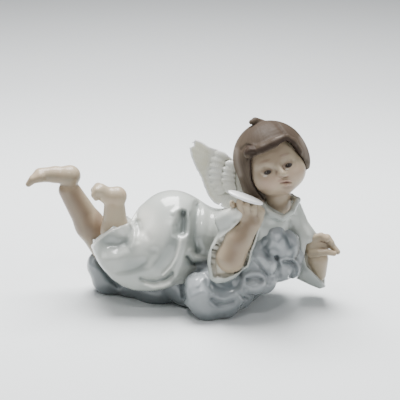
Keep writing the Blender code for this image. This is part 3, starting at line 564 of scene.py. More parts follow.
def robe_with_folds():
    skirt_edge = placed(outline(SKIRT_EDGE), FRONT)
    form = kept_within(hem(robe()), skirt_edge, 4)
    folds = [
        ([(3.1, 60.9), (3.8, 51.4), (3.4, 42)], 1.8, 1),
        ([(-0.5, 60.2), (0.1, 53.5), (-0.6, 46.7)], 1.9, -2.4),
        ([(0.7, 44.7), (0.1, 35.2), (-1.6, 27.1), (-4.7, 19.1), (-9.4, 13)], 2.6, 2),
        ([(-2, 44.7), (-3, 37.3), (-5, 30.5), (-8.4, 24.5), (-14.1, 18.7)], 1.4, 1.5),
        ([(-8, 19.1), (-12.1, 16.4), (-18.1, 14.7), (-24.9, 14.7), (-28.9, 16)], 1.8, -1.7),
        ([(-8.7, 14.3), (-14.1, 11.3), (-20.8, 10.6), (-26.9, 12.7)], 1.9, 1.3),
        ([(-7.4, 60.2), (-4, 62.5), (0.1, 62.2)], 1.6, 0.8),
        ([(8.8, 64.9), (7.5, 54.1), (6.8, 43.3), (8.8, 35.2)], 3.2, -2.8),
        ([(4.1, 34.5), (6.8, 30.1), (12.2, 28.8), (18.9, 29.1)], 1.6, 1.4),
        ([(2.1, 30.5), (5.5, 26.1), (12.2, 24.7), (19.6, 25.1)], 1.5, -2.6),
        ([(13.9, 62.9), (14.9, 54.1), (13.9, 46)], 2.2, 0.5),
        ([(20.3, 58.2), (19.6, 52.8), (17.6, 44.7)], 2.2, 0.5),
        ([(-48.6, 39.2), (-44.6, 37.9), (-39.2, 39.2)], 4.4, -2.2),
        ([(-54, 28.4), (-44.6, 30.4), (-36.4, 35.8), (-29.7, 44.6)], 3.8, 1.4),
        ([(-44.5, 21.7), (-35, 23.1), (-25.6, 27.1), (-20.2, 33.9)], 4, -1.5),
        ([(-22.8, 21.8), (-16.1, 29.9), (-11.4, 39.3), (-8.7, 51.4)], 3.6, 1.4),
        ([(-28.2, 47.4), (-22.8, 42), (-24.2, 35.3)], 3, -0.9),
        ([(-35.8, 53.4), (-33.7, 49.4), (-33.4, 43.3), (-35.1, 37.2)], 1.6, 1.4),
        ([(-31, 54.1), (-30, 48), (-31, 41.9)], 1.8, -1),
        ([(-32.1, 61.5), (-32.4, 56.8), (-32.4, 52.7)], 0.9, -0.9),
        ([(72.8, 54), (74.8, 47.2), (76.9, 41.7)], 2.2, -1.6),
        ([(76.9, 58.1), (78.9, 49.9), (83, 41.7)], 1.8, 0.8),
    ]
    form = drawn_in_front(form, FRONT, ROBE_BACK, *folds)
    form = pressed(form, FRONT, NOTCH, 2.6, 5.5, ROBE_BACK)
    collar = roll((seen(53, 65, -15), 2.2), (seen(57.7, 60.2, -18.5), 2),
                  (seen(66.4, 56.6, -19.5), 2), (seen(72.3, 60.9, -16), 2), (seen(76.7, 69, -8), 2),
                  ((73, 3, 74.5), 2.4), ((63, 7, 74), 2.8), ((54, 1, 73.5), 2.4),
                  (seen(53, 65, -15), 2.2), soft=1)
    return blend(3, form, collar)


def near_sleeve():
    upper = roll((NEAR_SHOULDER, 10.5), ((34, -26, 52), 10.5), soft=5)
    bell = egg(seen(31.5, 35, -31), (13.6, 11.5, 25), (-10, 27, 0))
    wall = seen_roll((42, 28, -30, 5), (46, 41, -30, 5), (49, 53, -30, 4))
    outer = outline([(41.5, 62.3), (32.1, 54), (24.1, 48.9), (18.4, 42.4), (15.4, 35.7), (15.4, 27.7),
                     (16.9, 15.8), (21.5, 13), (29.5, 14.3), (37.8, 17.8), (43, 23.4), (44.8, 28.8),
                     (45.5, 34.2), (47.8, 40.2), (49.8, 46.8), (52.4, 54.5), (50.5, 63)])
    bell = kept_within(blend(3, bell, wall), placed(outer, FRONT), 1.5)
    lap = roll(((27, -26, 68), 6.5), (seen(34.8, 60.1, -34), 4.6))
    form = blend(5, upper, bell, lap)
    return pressed(form, FRONT, NEAR_CUFF, 1000 * SLEEVE_HOLLOW, 1.4, NEAR_CUFF_BACK)


def near_arm():
    upper = seen(45.2, 53.9, -33)
    return roll((seen(31, 30.2, -33.5), 9.9), (seen(36.6, 43, -33), 8.4), (upper, 5.8), soft=3)


def near_hand():
    wrist = seen(45.2, 53.9, -33)
    middle = seen(43.1, 59.7, -32)
    palm = squeezed(ball(middle, 7.4), middle, (0.2, -1, 0.2), 0.66)
    heel = seen_roll((49.1, 56.4, -32, 3.6), (50.6, 61.4, -33, 3.1), (48.3, 64.7, -33, 2.2))
    fingers = [
        seen_roll((34.6, 62.4, -31, 2.2), (32.2, 66.1, -34, 2), (31.9, 67.1, -30, 1.8)),
        seen_roll((38.4, 60.4, -34, 2.5), (36.7, 67.3, -37.5, 2.3), (36.8, 68.7, -33, 2)),
        seen_roll((42.4, 60.4, -34.5, 2.5), (41.1, 65.4, -37.8, 2.3), (41, 67.1, -33, 2)),
        seen_roll((46.3, 60.4, -34, 2.5), (45.9, 64, -36.8, 2.3), (45.4, 65.9, -32.5, 2)),
    ]
    return blend(1.1, palm, heel, roll((wrist, 5.8), (middle, 5.4)), *fingers)


def plate():
    middle = seen(40.7, 70.5, -33)
    turn = Euler([math.radians(a) for a in (-3, 20.6, 0)]).to_matrix()
    top = np.array(turn.col[2])
    disc = egg(middle, (500 * PLATE_LENGTH, 500 * PLATE_WIDTH, 2.2 * 500 * PLATE_THICKNESS), turn)
    slab = Form(lambda p: np.abs((p - np.array(middle)) @ top) - 500 * PLATE_THICKNESS, [])
    return kept_within(disc, slab, 1.6)


def far_sleeve():
    upper = roll((FAR_SHOULDER, 9.5), ((82, 3, 46), 10), (FAR_ELBOW, 11), ((92, -2, 16), 9), soft=4)
    outer = outline([(60, 90), (68, 50), (78, 44), (79.2, 30.2), (77.7, 14.5), (86.7, 10.2),
                     (93.6, 7.5), (97.8, 8.3), (98, 22.1), (99.5, 28.9), (93, 44), (89.8, 47.6),
                     (84.9, 54.5), (82.5, 60.7), (80.5, 67), (78, 90)])
    form = kept_within(upper, placed(outer, FRONT), 1.5)
    return pressed(form, FRONT, FAR_CUFF, 1000 * SLEEVE_HOLLOW, 1.4, FAR_CUFF_BACK)


def far_arm():
    return seen_roll((92.5, 18, -1, 6), (92, 28, -2, 7.6), soft=3)


def far_hand():
    palm_middle = seen(90.7, 35.9, -2.5)
    palm = squeezed(ball(palm_middle, 8.2), palm_middle, (0, 1, 0.2), 0.62)
    fingers = [
        seen_roll((87.2, 37.3, -3, 3), (89.3, 42.6, -4, 3), (93.6, 44, -5, 2.8),
                  (97.3, 42.3, -6.5, 2.4)),
        seen_roll((90.8, 39.3, 0, 3.4), (94.1, 42.8, -1, 3.2), (98.1, 42.8, -2, 2.9),
                  (100.8, 39.4, -4, 2.4)),
        seen_roll((94.9, 37.2, -1, 3.4), (98.9, 39.4, -2, 2.9), (102.2, 36.7, -4, 2.4),
                  (105.3, 33.3, -6, 1.9)),
    ]
    thumb = seen_roll((87.1, 32.6, -6, 3), (92.3, 33, -8.5, 2.7), (97.7, 33.4, -9.5, 2.3),
                      (102.5, 32.3, -9, 1.8))
    return blend(1.2, palm, thumb, *fingers)


def near_leg():
    calf = roll((NEAR_KNEE, 10.5), ((-47, -7.5, 54), 9), (NEAR_ANKLE, 7), soft=4)
    heel = ball((-45.2, -8, 78.9), 6.3)
    sole = roll(((-45, -8, 79.2), 6.1), ((-51.5, -8.6, 79.6), 5.3), ((-56.2, -9.5, 83), 5.4), soft=2)
    toes = [roll(((-58, -13.4 + 2.6 * k, 84.4 - 0.3 * k), 2.6),
                 ((-60 + 0.3 * k, -14 + 2.8 * k, 82), 2.2),
                 ((-58.8 + 0.3 * k, -14.2 + 2.8 * k, 79.8), 1.8)) for k in range(4)]
    big = roll(((-58, -4, 84.2), 3), ((-60.4, -3.4, 81.6), 2.7), ((-58.6, -3.2, 79), 2.1))
    return blend(2, calf, heel, sole, big, *toes)


def far_leg():
    calf = roll((FAR_KNEE, 12), ((-65.5, 11, 51), 9.8), (FAR_ANKLE, 7.4), soft=4)
    heel = ball((-78.2, 9.5, 87.6), 6.9)
    sole = roll(((-78, 9.5, 87.6), 6.4), ((-88, 9, 88.6), 5.4), ((-98, 8, 88.6), 5), soft=2)
    toes = [roll(((-98, 5.6 + 2.6 * k, 88.4), 2.6), ((-102.4 + 0.5 * k, 5.2 + 2.7 * k, 87.2), 2.2),
                 ((-104.8 + 0.6 * k, 5.2 + 2.7 * k, 84.4), 1.7)) for k in range(4)]
    big = roll(((-98, 4, 88.4), 3.3), ((-102.8, 3, 87), 2.9), ((-106, 2.8, 83.8), 1.9))
    return blend(2.4, calf, heel, sole, big, *toes)


# Rows of feathers as the front view shows them: where they start, where they end, half width and lift
FEATHER_ROWS = [
    ([(21.7, 97.3), (19.6, 96), (19, 94), (18.3, 91.2), (18.3, 89.2), (18.3, 86.5), (19, 83.8),
      (19.6, 81.1), (21, 78.4), (23, 75.7), (25.7, 73.7)],
     [(6.8, 109.2), (4.5, 104.8), (5.2, 100), (6.5, 95.6), (8.1, 91.2), (10.2, 87.2), (11.9, 82.8),
      (13.4, 78.4), (15.7, 73.7), (18.3, 69.6), (22.3, 67.6)],
     3.1, 0.5),
    ([(29.8, 97.3), (28.4, 93.3), (27.7, 89.9), (27.4, 86.5), (27.4, 83.1), (27.7, 79.8), (28.8, 77.1)],
     [(20.6, 101), (18.3, 97), (17.3, 92.6), (16.8, 88.2), (16.9, 83.8), (17.9, 79.4), (20, 75)],
     3.1, 1.5),
    ([(35.2, 91.9), (34.5, 88.5), (34.5, 85.2), (34.5, 81.8), (34.5, 79.1), (35.2, 77.1)],
     [(27.7, 94), (26.1, 90.2), (25.2, 86.2), (25, 82.5), (25.7, 78.7), (27.4, 75.7)],
     2.9, 2.4),
]


def wing_point(x, v, lift=0):
    """The point of the wing's plane that the front view shows at (x, v), lifted towards the front."""
    facing = Vector(WING_FACING).normalized()
    sight = FRONT.to_3x3() @ Vector((0, -1, 0))
    start = Vector(seen(x, v, 0))
    reach = (Vector(WING_ROOT) - start).dot(facing) / sight.dot(facing)
    return start + sight * reach + facing * lift


def feather_frame(base, tip, lift):
    """The middle of a feather, its directions (across, facing, along) and half its length."""
    a, b = wing_point(*base, lift), wing_point(*tip, lift * 0.6)
    along = (b - a).normalized()
    facing = Vector(WING_FACING).normalized()
    across = along.cross(facing).normalized()
    return (a + b) / 2, Matrix((across, facing, along)).transposed(), (b - a).length / 2


def feather(base, tip, width, lift):
    middle, turn, half = feather_frame(base, tip, lift)
    return egg(middle, (width, 1.2, half), turn)


def near_wing():
    facing = np.array(Vector(WING_FACING).normalized())
    root = np.array(WING_ROOT)
    edge = [(5.8, 110.6), (11.4, 108.6), (16.6, 105.4), (22, 103.8), (27, 101.4), (32, 98), (38, 93),
            (42, 86.1), (43.4, 75.8), (40, 64), (33, 60.4), (26.5, 64), (20.4, 67), (16.6, 71.6),
            (13.9, 77.9), (11.6, 84.7), (7.6, 91.6), (4.8, 98.4), (3.4, 105.3)]
    shape = placed(outline(edge), FRONT)

    def slab(p):
        away = (p - root) @ facing
        return np.abs(away) - 500 * WING_THICKNESS

    beads = []
    for x, v, r in ((9, 104, 3), (12, 100, 5), (16, 96, 7), (20, 90, 9), (26, 84, 11), (30, 76, 11),
                    (33, 70, 8), (17, 102, 3), (23, 99, 4.5), (29, 95, 5), (35, 89, 5.5), (39, 82, 5),
                    (41, 75, 4), (38, 68, 5), (29, 66, 3), (22, 70, 4), (9, 95, 4), (13, 86, 3)):
        place = Matrix.Translation(wing_point(x, v))
        turn = Vector((0, 0, 1)).rotation_difference(Vector(WING_FACING)).to_matrix().to_4x4()
        beads.append(place @ turn @ Matrix.Diagonal((r, r, 1.4, 1)))
    blade = kept_within(Form(slab, beads), shape, 0.8)
    rows = [feather(base, tip, width, lift)
            for bases, tips, width, lift in FEATHER_ROWS for base, tip in zip(bases, tips)]
    return blend(0.7, blade, *rows)


def far_wing_mirror():
    """The near wing's mirror through the middle of the back."""
    centre = (Vector(NEAR_SHOULDER) + Vector(FAR_SHOULDER)) / 2
    across = (Vector(FAR_SHOULDER) - Vector(NEAR_SHOULDER)).normalized()
    return Matrix.Translation(centre) @ Matrix.Scale(-1, 4, across) @ Matrix.Translation(-centre)


def cloud():
    balls = [
        (43.5, -21, 32, 9.5), (22, -26, 22, 11), (60, -16.5, 52, 9.8), (54, -17, 46, 8),
        (66, -11, 44, 13), (71.7, -10, 28, 8.6), (56, -23, 37, 8.5),
        (76, -6, 34.5, 6.8), (64.5, -14, 29, 9.6), (53.5, -21, 23, 9.6),
        (47.5, -28, 25, 8.5), (11, -28, 18, 13.5), (27, -29, 10.5, 11.5), (37, -22, 13, 10.5),
        (49, -20, 41, 9.5), (31, -29, 20, 12), (16, -29.5, 9.5, 12.3), (-57.5, 14, 19.5, 11.5),
        (-53, 14, 10, 13), (60, 8, 30, 13), (40, 24, 22, 15), (10, 30, 16, 15),
        (-20, 24, 13, 14), (28, 32, 12, 13),
    ]
    puffs = [
        egg((19, 6, 15), (40, 34, 24)), egg((-22, 14, 9), (34, 21, 15)), ball((-18, 6, 6), 18),
        egg((22, 5, 33), (36, 20, 16)),
        *[ball(place, radius) for *place, radius in balls],
    ]
    form = blend(3, *puffs)
    swirls = [
        ([(20.2, 11.4), (25.6, 9.4), (30.9, 9.4), (36.3, 12.7)], 3, -1.2),
        ([(39.6, 12.7), (41, 17.4), (45, 20.1), (50.3, 20.1), (54.3, 16.8), (53.7, 12.1),
          (49.7, 8.7), (44.3, 8.1)], 2, 1.5),
        ([(43, 15.8), (47.6, 16.8), (51.7, 15.8)], 1.7, -2.2),
        ([(42.3, 11.7), (47, 10.7), (51.7, 12.7)], 1.4, 0.8),
        ([(16.2, 6.7), (21.6, 4.1), (26.9, 3), (34.9, 6.1), (39, 9.4)], 1.9, 1.4),
        ([(18.9, 2.7), (22.2, -0.3), (27.6, 0), (32.9, 1.4)], 1.7, -1.8),
        ([(36.3, 6.7), (39, 4.1), (42.3, 2)], 1.2, -1.5),
        ([(33.6, -3.3), (37.6, -0.6), (44.3, 3)], 1.7, 0.8),
        ([(4.8, 2.7), (8.8, 6.1), (12.9, 8.1)], 2.8, 1.4),
        ([(2.8, 22.7), (7.5, 24), (14.9, 23.4)], 1.8, 1.1),
        ([(4.8, 17.3), (9.5, 19), (14.2, 18.7)], 1.1, -0.9),
        ([(9.5, 12), (11.5, 14.6), (13.5, 16.6)], 1.5, 1),
        ([(15.5, 17.3), (15.2, 11.3), (18.2, 6.6)], 1.5, -1.4),
        ([(-0.9, 22), (-1.2, 12.6), (0.1, 3.2)], 2, -2.8),
        ([(55.3, 48.6), (56.3, 41.8), (53.9, 36.4), (56.9, 32), (61.7, 30)], 1.9, -1.5),
        ([(59, 47.3), (60.3, 41.8), (63.7, 37.1)], 2.4, 0.8),
        ([(67.8, 47.3), (71.2, 40.5), (73.2, 33.7), (71.2, 31)], 1.8, -0.9),
        ([(67.9, 27.2), (72, 26.8), (75.1, 24.1), (75.4, 20), (72.7, 16.6)], 1.6, -1.9),
        ([(65.2, 28.5), (70.6, 29.9), (76.1, 27.5), (78.8, 22.8), (78.1, 18)], 1.5, 1.2),
        ([(65.9, 25.5), (69.3, 23.4), (71.3, 20)], 1.7, 1.1),
        ([(50, 31.2), (54.7, 29.8), (58.1, 26.4), (58.8, 21)], 2, 1.4),
        ([(47.2, 28.5), (51.3, 24.5), (55.3, 18.4), (56.6, 13.1)], 1.5, -1.3),
        ([(62.4, 29.6), (63.7, 24.2), (64.4, 17.4)], 1.7, -1.4),
        ([(-60.4, 25.8), (-57, 21), (-52.2, 14.8), (-46, 8.6)], 1.8, -2.2),
        ([(10, 22), (16, 26), (22, 23)], 1.8, -1),
    ]
    form = drawn_in_front(form, FRONT, 6, *swirls)
    return kept_within(form, above(0), 1)


def shaded(mesh, name, values):
    """Keeps one number for each vertex, for the glaze to read."""
    kept = mesh.attributes.new(name, "FLOAT", "POINT")
    kept.data.foreach_set("value", np.asarray(values, np.float32))


def stood_flat(mesh, level):
    """Lifts what lies below a level up to it."""
    co = places(mesh)
    co[:, 2] = np.maximum(co[:, 2], level)
    mesh.vertices.foreach_set("co", co.ravel())
    mesh.update()


def read_surface(mesh, reach):
    """Keeps how hollow each vertex is within a reach, and how far up it faces."""
    co = places(mesh)
    ends = np.empty(len(mesh.edges) * 2, int)
    mesh.edges.foreach_get("vertices", ends)
    a, b = ends.reshape(-1, 2).T
    spacing = np.sqrt(((co[a] - co[b]) ** 2).sum(1)).mean()
    share = 1 / np.maximum(np.bincount(a, minlength=len(co)) + np.bincount(b, minlength=len(co)), 1)
    even = co.copy()
    for _ in range(int((reach / spacing) ** 2) + 1):
        for axis in range(3):
            column = even[:, axis].copy()
            total = np.bincount(a, column[b], len(co)) + np.bincount(b, column[a], len(co))
            even[:, axis] = total * share
    normals = np.empty(len(co) * 3)
    mesh.vertex_normals.foreach_get("vector", normals)
    normals = normals.reshape(-1, 3)
    shaded(mesh, "hollow", ((even - co) * normals).sum(1))
    shaded(mesh, "up", normals[:, 2])


def brushed(points, back, *lines):
    """Paint laid along lines of the front view: one on a line, nothing well away from it."""
    q = within_frame(FRONT, points)
    share = np.zeros(len(points))
    for line, width in lines:
        share = np.maximum(share, np.exp(-((near_line(q[:, (0, 2)], line) / width) ** 2)))
    return share * smooth_step((back - q[:, 1]) / 3)


def filled(points, back, shape, edge):
    """Paint inside an outline of the front view."""
    q = within_frame(FRONT, points)
    inside = smooth_step(0.5 - outline(shape).field(q) / edge)
    return inside * smooth_step((back - q[:, 1]) / 3)


def barbs(points):
    """The fine barbs of each feather, from -1 to 1, and how near each point is to a quill."""
    nearest = np.full(len(points), 1e9)
    waves = np.zeros(len(points))
    quills = np.zeros(len(points))
    for bases, tips, width, lift in FEATHER_ROWS:
        for base, tip in zip(bases, tips):
            middle, turn, half = feather_frame(base, tip, lift)
            q = (points - np.array(middle)) @ np.array(turn)
            away = np.sqrt((q[:, 0] / width) ** 2 + (q[:, 1] / 1.2) ** 2 + (q[:, 2] / half) ** 2)
            here = away < nearest
            nearest[here] = away[here]
            waves[here] = np.sin(4.4 * (q[here, 2] - 0.9 * np.abs(q[here, 0])))
            quills[here] = np.exp(-((q[here, 0] / 0.4) ** 2))
    return waves, quills


def voxel(size):
    return size * 1


def put_in_frame(mesh, name, material):
    """Sets a finished piece, modelled in millimetres, into the frame over the part's solid."""
    mesh.transform(Matrix.Scale(MM, 4) @ Matrix.Translation(STAND))
    mesh.shade_smooth()
    mesh.materials.clear()
    mesh.materials.append(material)
    piece = bpy.data.objects.new(name, mesh)
    bpy.context.scene.collection.objects.link(piece)
    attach(piece, "root")
    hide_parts(NODE)
    return piece


class Glaze:
    """A porcelain material being mixed: its colour is laid on in coats."""

    def __init__(self, name):
        self.material = bpy.data.materials.new(name)
        self.material.use_nodes = True
        self.nodes = self.material.node_tree.nodes
        self.links = self.material.node_tree.links
        self.shader = self.nodes["Principled BSDF"]
        self.place = self.new("TexCoord", {}, "Object")
        self.colour = None

    def plug(self, socket, value):
        if isinstance(value, bpy.types.NodeSocket):
            self.links.new(value, socket)
        elif socket.type == "RGBA":
            socket.default_value = (*value, 1)
        else:
            socket.default_value = value

    def new(self, kind, inputs, output=0, **settings):
        """One output of a new shader node with these settings and inputs."""
        node = self.nodes.new("ShaderNode" + kind)
        for name, value in settings.items():
            setattr(node, name, value)
        for name, value in inputs.items():
            self.plug(node.inputs[name], value)
        return node.outputs[output]

    def math(self, kind, a, b=0, clamp=False):
        return self.new("Math", {0: a, 1: b}, operation=kind, use_clamp=clamp)

    def noise(self, scale, detail, place=None):
        inputs = {"Vector": place or self.place, "Scale": scale, "Detail": detail}
        return self.new("TexNoise", inputs, "Fac")

    def spread(self, value, low, high, to_low=0, to_high=1):
        """A smooth change from one share to another while the value goes from low to high."""
        inputs = {"Value": value, "From Min": low, "From Max": high,
                  "To Min": to_low, "To Max": to_high}
        return self.new("MapRange", inputs, "Result", interpolation_type="SMOOTHSTEP")

    def painted(self, name, low=0, high=0, most=1):
        """What was kept for each vertex under a name, spread between low and high if they differ."""
        value = self.new("Attribute", {}, "Fac", attribute_name=name)
        return value if low == high else self.spread(value, low, high, 0, most)

    def part(self, name, share, clamp=False):
        return self.math("MULTIPLY", self.painted(name), share, clamp)

    def mix(self, share, under, over, kind="MIX"):
        inputs = {"Factor": share, "A": under, "B": over}
        return self.new("Mix", inputs, "Result", data_type="RGBA", blend_type=kind)

    def lay(self, share, over, kind="MIX"):
        """Lays a colour over what is there already."""
        self.colour = self.mix(share, self.colour, over, kind)

    def wash(self, scale, detail, high, under, over):
        """The first coat: one colour with cloudy patches of another."""
        self.colour = self.mix(self.spread(self.noise(scale, detail), 0.35, high), under, over)

    def pool(self, most):
        """Darkens what faces out and down with painted shade."""
        self.lay(self.painted("up", 0.75, -0.15, most), UNDERSIDE_SHADE, "MULTIPLY")

    def split(self, vector):
        node = self.nodes.new("ShaderNodeSeparateXYZ")
        self.links.new(vector, node.inputs[0])
        return node.outputs

    def within(self, centre, turn):
        """Object coordinates in millimetres, in a frame of their own."""
        inputs = {"Vector": self.place, "Scale": (MM, MM, MM)}
        inputs["Location"] = [(c + s) * MM for c, s in zip(centre, STAND)]
        inputs["Rotation"] = [math.radians(a) for a in turn]
        return self.split(self.new("Mapping", inputs, vector_type="TEXTURE"))

    def spot(self, axes, x, z, width, height, soft, lean):
        """A brushed oval on the front of a frame: one inside it, nothing outside."""
        across = self.math("SUBTRACT", axes[0], x)
        up = self.math("SUBTRACT", axes[2], z)
        if lean:
            up = self.math("ADD", up, self.math("MULTIPLY", across, lean))
        a, b = [self.math("POWER", self.math("ABSOLUTE", self.math("DIVIDE", way, size)), 2)
                for way, size in ((across, width), (up, height))]
        oval = self.spread(self.math("ADD", a, b), 1 + soft, max(1 - soft, 0))
        return self.math("MULTIPLY", oval, self.spread(axes[1], -7, -9))

    def strands(self, centre, turn, crown, fine):
        """Noise drawn out into strands that run down all round a crown."""
        axes = self.within(centre, turn)
        x, y = [self.math("SUBTRACT", axes[k], crown[k]) for k in (0, 1)]
        flat = self.new("CombineXYZ", {0: x, 1: y})
        around = self.split(self.new("VectorMath", {0: flat}, operation="NORMALIZE"))
        x, y = [self.math("MULTIPLY", around[k], fine) for k in (0, 1)]
        drawn = self.new("CombineXYZ", {0: x, 1: y, 2: self.math("MULTIPLY", axes[2], 0.05)})
        return self.noise(1, 3, drawn)

    def finish(self, roughness, coat=0.6, relief=None, depth=0.00004, shine=0.5):
        """The colour under a clear glaze with a slight ripple, or over a fine relief."""
        rough = self.spread(self.noise(420, 2), 0.3, 0.7, roughness - 0.03, roughness + 0.05)
        ripple = self.noise(260, 2)
        if relief is not None:
            ripple = self.math("ADD", self.math("MULTIPLY", ripple, 0.2), relief)
        bump = self.new("Bump", {"Strength": 0.4, "Distance": depth, "Height": ripple})
        for name, value in (("Base Color", self.colour), ("Roughness", rough), ("IOR", 1.5),
                            ("Specular IOR Level", shine), ("Coat Weight", coat),
                            ("Coat Roughness", 0.1), ("Normal", bump)):
            self.plug(self.shader.inputs[name], value)
        return self.material


def flesh_glaze(name, colours, underside_shading):
    """Flesh under the glaze, with painted shade in its creases and on what faces down."""
    glaze = Glaze(name)
    glaze.wash(60, 3, 0.65, colours.flesh, colours.flesh_warm)
    # Painted shade in the creases
    glaze.lay(glaze.painted("hollow", 0.05, 0.55), colours.flesh_shade)
    glaze.pool(underside_shading)
    return glaze


def painted_face(colours):
    """The flesh of the head with its eyes, brows, lips and blush brushed on, and with painted shade and
    painted glints.
    """
    glaze = flesh_glaze("painted_face", colours, 0.25)
    axes = glaze.within(HEAD_CENTRE, HEAD_TURN)
    glaze.lay(glaze.part("shade", 0.45), colours.flesh_shade)
    spots = [(*oval, 0.9, lean, share, colours.flesh_shade) for *oval, share, lean in FACE_SHADE]
    for side in (-1, 1):
        eye = EYE_MIDDLE + side * 7.4
        spots += [
            (side * 9, -9, 6.5, 5, 0.9, 0, 0.4, colours.blush),
            (eye - side * 0.6, EYE_LEVEL + 7.6, 3.4, 0.9, 0.9, side * 0.1, 0.5, colours.brow),
            (eye, EYE_LEVEL + 0.9, 3.3, 1.6, 0.8, 0, 0.6, colours.eye_rim),
            (eye, EYE_LEVEL, 2.5, 1.5, 0.5, 0, 1, colours.eye),
            # Painted glints: a light dab under each eye and a small highlight dot in it
            (eye - 2, EYE_LEVEL - 1.9, 1.3, 0.6, 0.7, 0, 0.55, colours.eye_glint),
            (eye - 0.7, EYE_LEVEL + 0.6, 0.35, 0.3, 0.5, 0, 0.3, colours.eye_glint),
        ]
    spots += [
        (0.4, -11.5, 4.8, 1.3, 0.6, LIP_LEAN, 0.55, colours.lips),
        (0.9, -14, 3.2, 1.3, 0.6, LIP_LEAN, 0.5, colours.lips),
        (0.5, -12.4, 3.7, 0.45, 0.6, LIP_LEAN, 0.7, colours.lip_line),
    ]
    for *oval, share, colour in spots:
        glaze.lay(glaze.math("MULTIPLY", glaze.spot(axes, *oval), share), colour)
    return glaze.finish(0.36, 0.12, shine=0.3)


def settings(context):
    return context.scene.figurine_clay, context.scene.figurine_glaze


class FIGURINE_OT_head(bpy.types.Operator):
    """Head and neck, with the painted face"""

    bl_idname = "figurine.head"
    bl_label = "Head and face"

    def execute(self, context):
        clay, colours = settings(context)
        mesh = modelled("head", blend(3, head(), neck()), voxel(clay.skin))
        read_surface(mesh, 2)
        shaded(mesh, "shade", brushed(places(mesh), ALL_THROUGH, *HEAD_PAINT))
        put_in_frame(mesh, "head", painted_face(colours))
        return {"FINISHED"}


class FIGURINE_OT_hair(bpy.types.Operator):
    """Cap of brown hair with its fringe, side locks and tuft"""

    bl_idname = "figurine.hair"
    bl_label = "Hair"

    def execute(self, context):
        clay, colours = settings(context)
        mesh = modelled("hair", head_hair(), voxel(clay.hair))
        read_surface(mesh, 1.6)
        spots = places(mesh)
        shaded(mesh, "fringe", brushed(spots, HAIR_BACK, *FRINGE_SHADE))
        shaded(mesh, "side", brushed(spots, HAIR_BACK + 6, *SIDE_SHADE))
        shaded(mesh, "light", brushed(spots, HAIR_BACK + 6, *HAIR_HIGHLIGHT))
        glaze = Glaze("brown_hair")
        strands = glaze.strands(HEAD_CENTRE, HEAD_TURN, (-3, 5), 22)
        glaze.colour = glaze.mix(glaze.spread(strands, 0.35, 0.65), colours.hair, colours.hair_light)
        # Painted shade: in the grooves between the locks, down the hair's shaded side, on top where the
        # hair faces up, and under the fringe
        glaze.lay(glaze.painted("hollow", 0.05, 0.5), colours.hair_shade)
        glaze.lay(glaze.part("side", 0.55), colours.hair_shade)
        glaze.lay(glaze.painted("up", 0.2, 0.9, 0.75), colours.hair_shade)
        glaze.lay(glaze.painted("fringe", 0.15, 0.75), colours.hair_shade)
        # Painted highlight bands on the hair
        glaze.lay(glaze.part("light", 0.6), colours.hair_sheen)
        put_in_frame(mesh, "hair", glaze.finish(0.5, 0, strands, 0.0003, 0.08))
        return {"FINISHED"}


class FIGURINE_OT_robe(bpy.types.Operator):
    """White robe with its folds, its hem and both wide sleeves"""

    bl_idname = "figurine.robe"
    bl_label = "Robe and sleeves"

    def execute(self, context):
        clay, colours = settings(context)
        whole = blend(3, robe_with_folds(), near_sleeve(), far_sleeve())
        mesh = modelled("robe", whole, voxel(clay.robe))
        read_surface(mesh, 3.5)
        spots = places(mesh)
        near_cuff = filled(spots, NEAR_CUFF_BACK, NEAR_CUFF, 1.4)
        far_cuff = filled(spots, FAR_CUFF_BACK, FAR_CUFF, 1.4)
        shaded(mesh, "lining", np.maximum(near_cuff, far_cuff))
        shaded(mesh, "notch", filled(spots, ROBE_BACK, NOTCH, 5))
        shaded(mesh, "shade", brushed(spots, FAR_CUFF_BACK, *ROBE_PAINT))
        shaded(mesh, "light", brushed(spots, ROBE_BACK, *ROBE_HIGHLIGHT))
        glaze = Glaze("white_robe")
        glaze.wash(28, 4, 0.7, colours.robe, colours.robe_cool)
        # Painted shade in the folds and hollows
        glaze.lay(glaze.painted("hollow", 0.05, 1.3), colours.robe_shade)
        # Painted shade on what faces down
        glaze.pool(0.5)
        glaze.lay(glaze.painted("lining"), colours.lining)
        # Painted shade in the deep fold at the waist and over the other shaded folds
        glaze.lay(glaze.part("notch", 0.6), colours.robe_shade)
        glaze.lay(glaze.part("shade", 0.65, True), colours.robe_shade)
        # Painted highlights along ridges and edges, and painted light on the lap and the hip
        glaze.lay(glaze.part("light", 0.7), colours.robe_highlight)
        put_in_frame(mesh, "robe", glaze.finish(0.2))
        return {"FINISHED"}


class FIGURINE_OT_limbs(bpy.types.Operator):
    """Both arms with their hands, and both bare legs with their feet"""

    bl_idname = "figurine.limbs"
    bl_label = "Arms and legs"

    def execute(self, context):
        clay, colours = settings(context)
        # The last number says how much painted shade falls on what faces down
        for name, form, size, underside_shading in (
            ("near_arm", blend(1.5, near_arm(), near_hand()), clay.hand, 0.4),
            ("far_arm", blend(1.5, far_arm(), far_hand()), clay.hand, 0.5),
            ("near_leg", near_leg(), clay.leg, 0.15),
            ("far_leg", far_leg(), clay.leg, 0.7),
        ):
            mesh = modelled(name, form, voxel(size))
            read_surface(mesh, 1.6)
            shaded(mesh, "shade", brushed(places(mesh), ALL_THROUGH, *LIMB_PAINT))
            glaze = flesh_glaze(name + "_glaze", colours, underside_shading)
            glaze.lay(glaze.part("shade", 0.75), colours.flesh_shade)
            put_in_frame(mesh, name, glaze.finish(0.34, 0.15, shine=0.3))
        return {"FINISHED"}


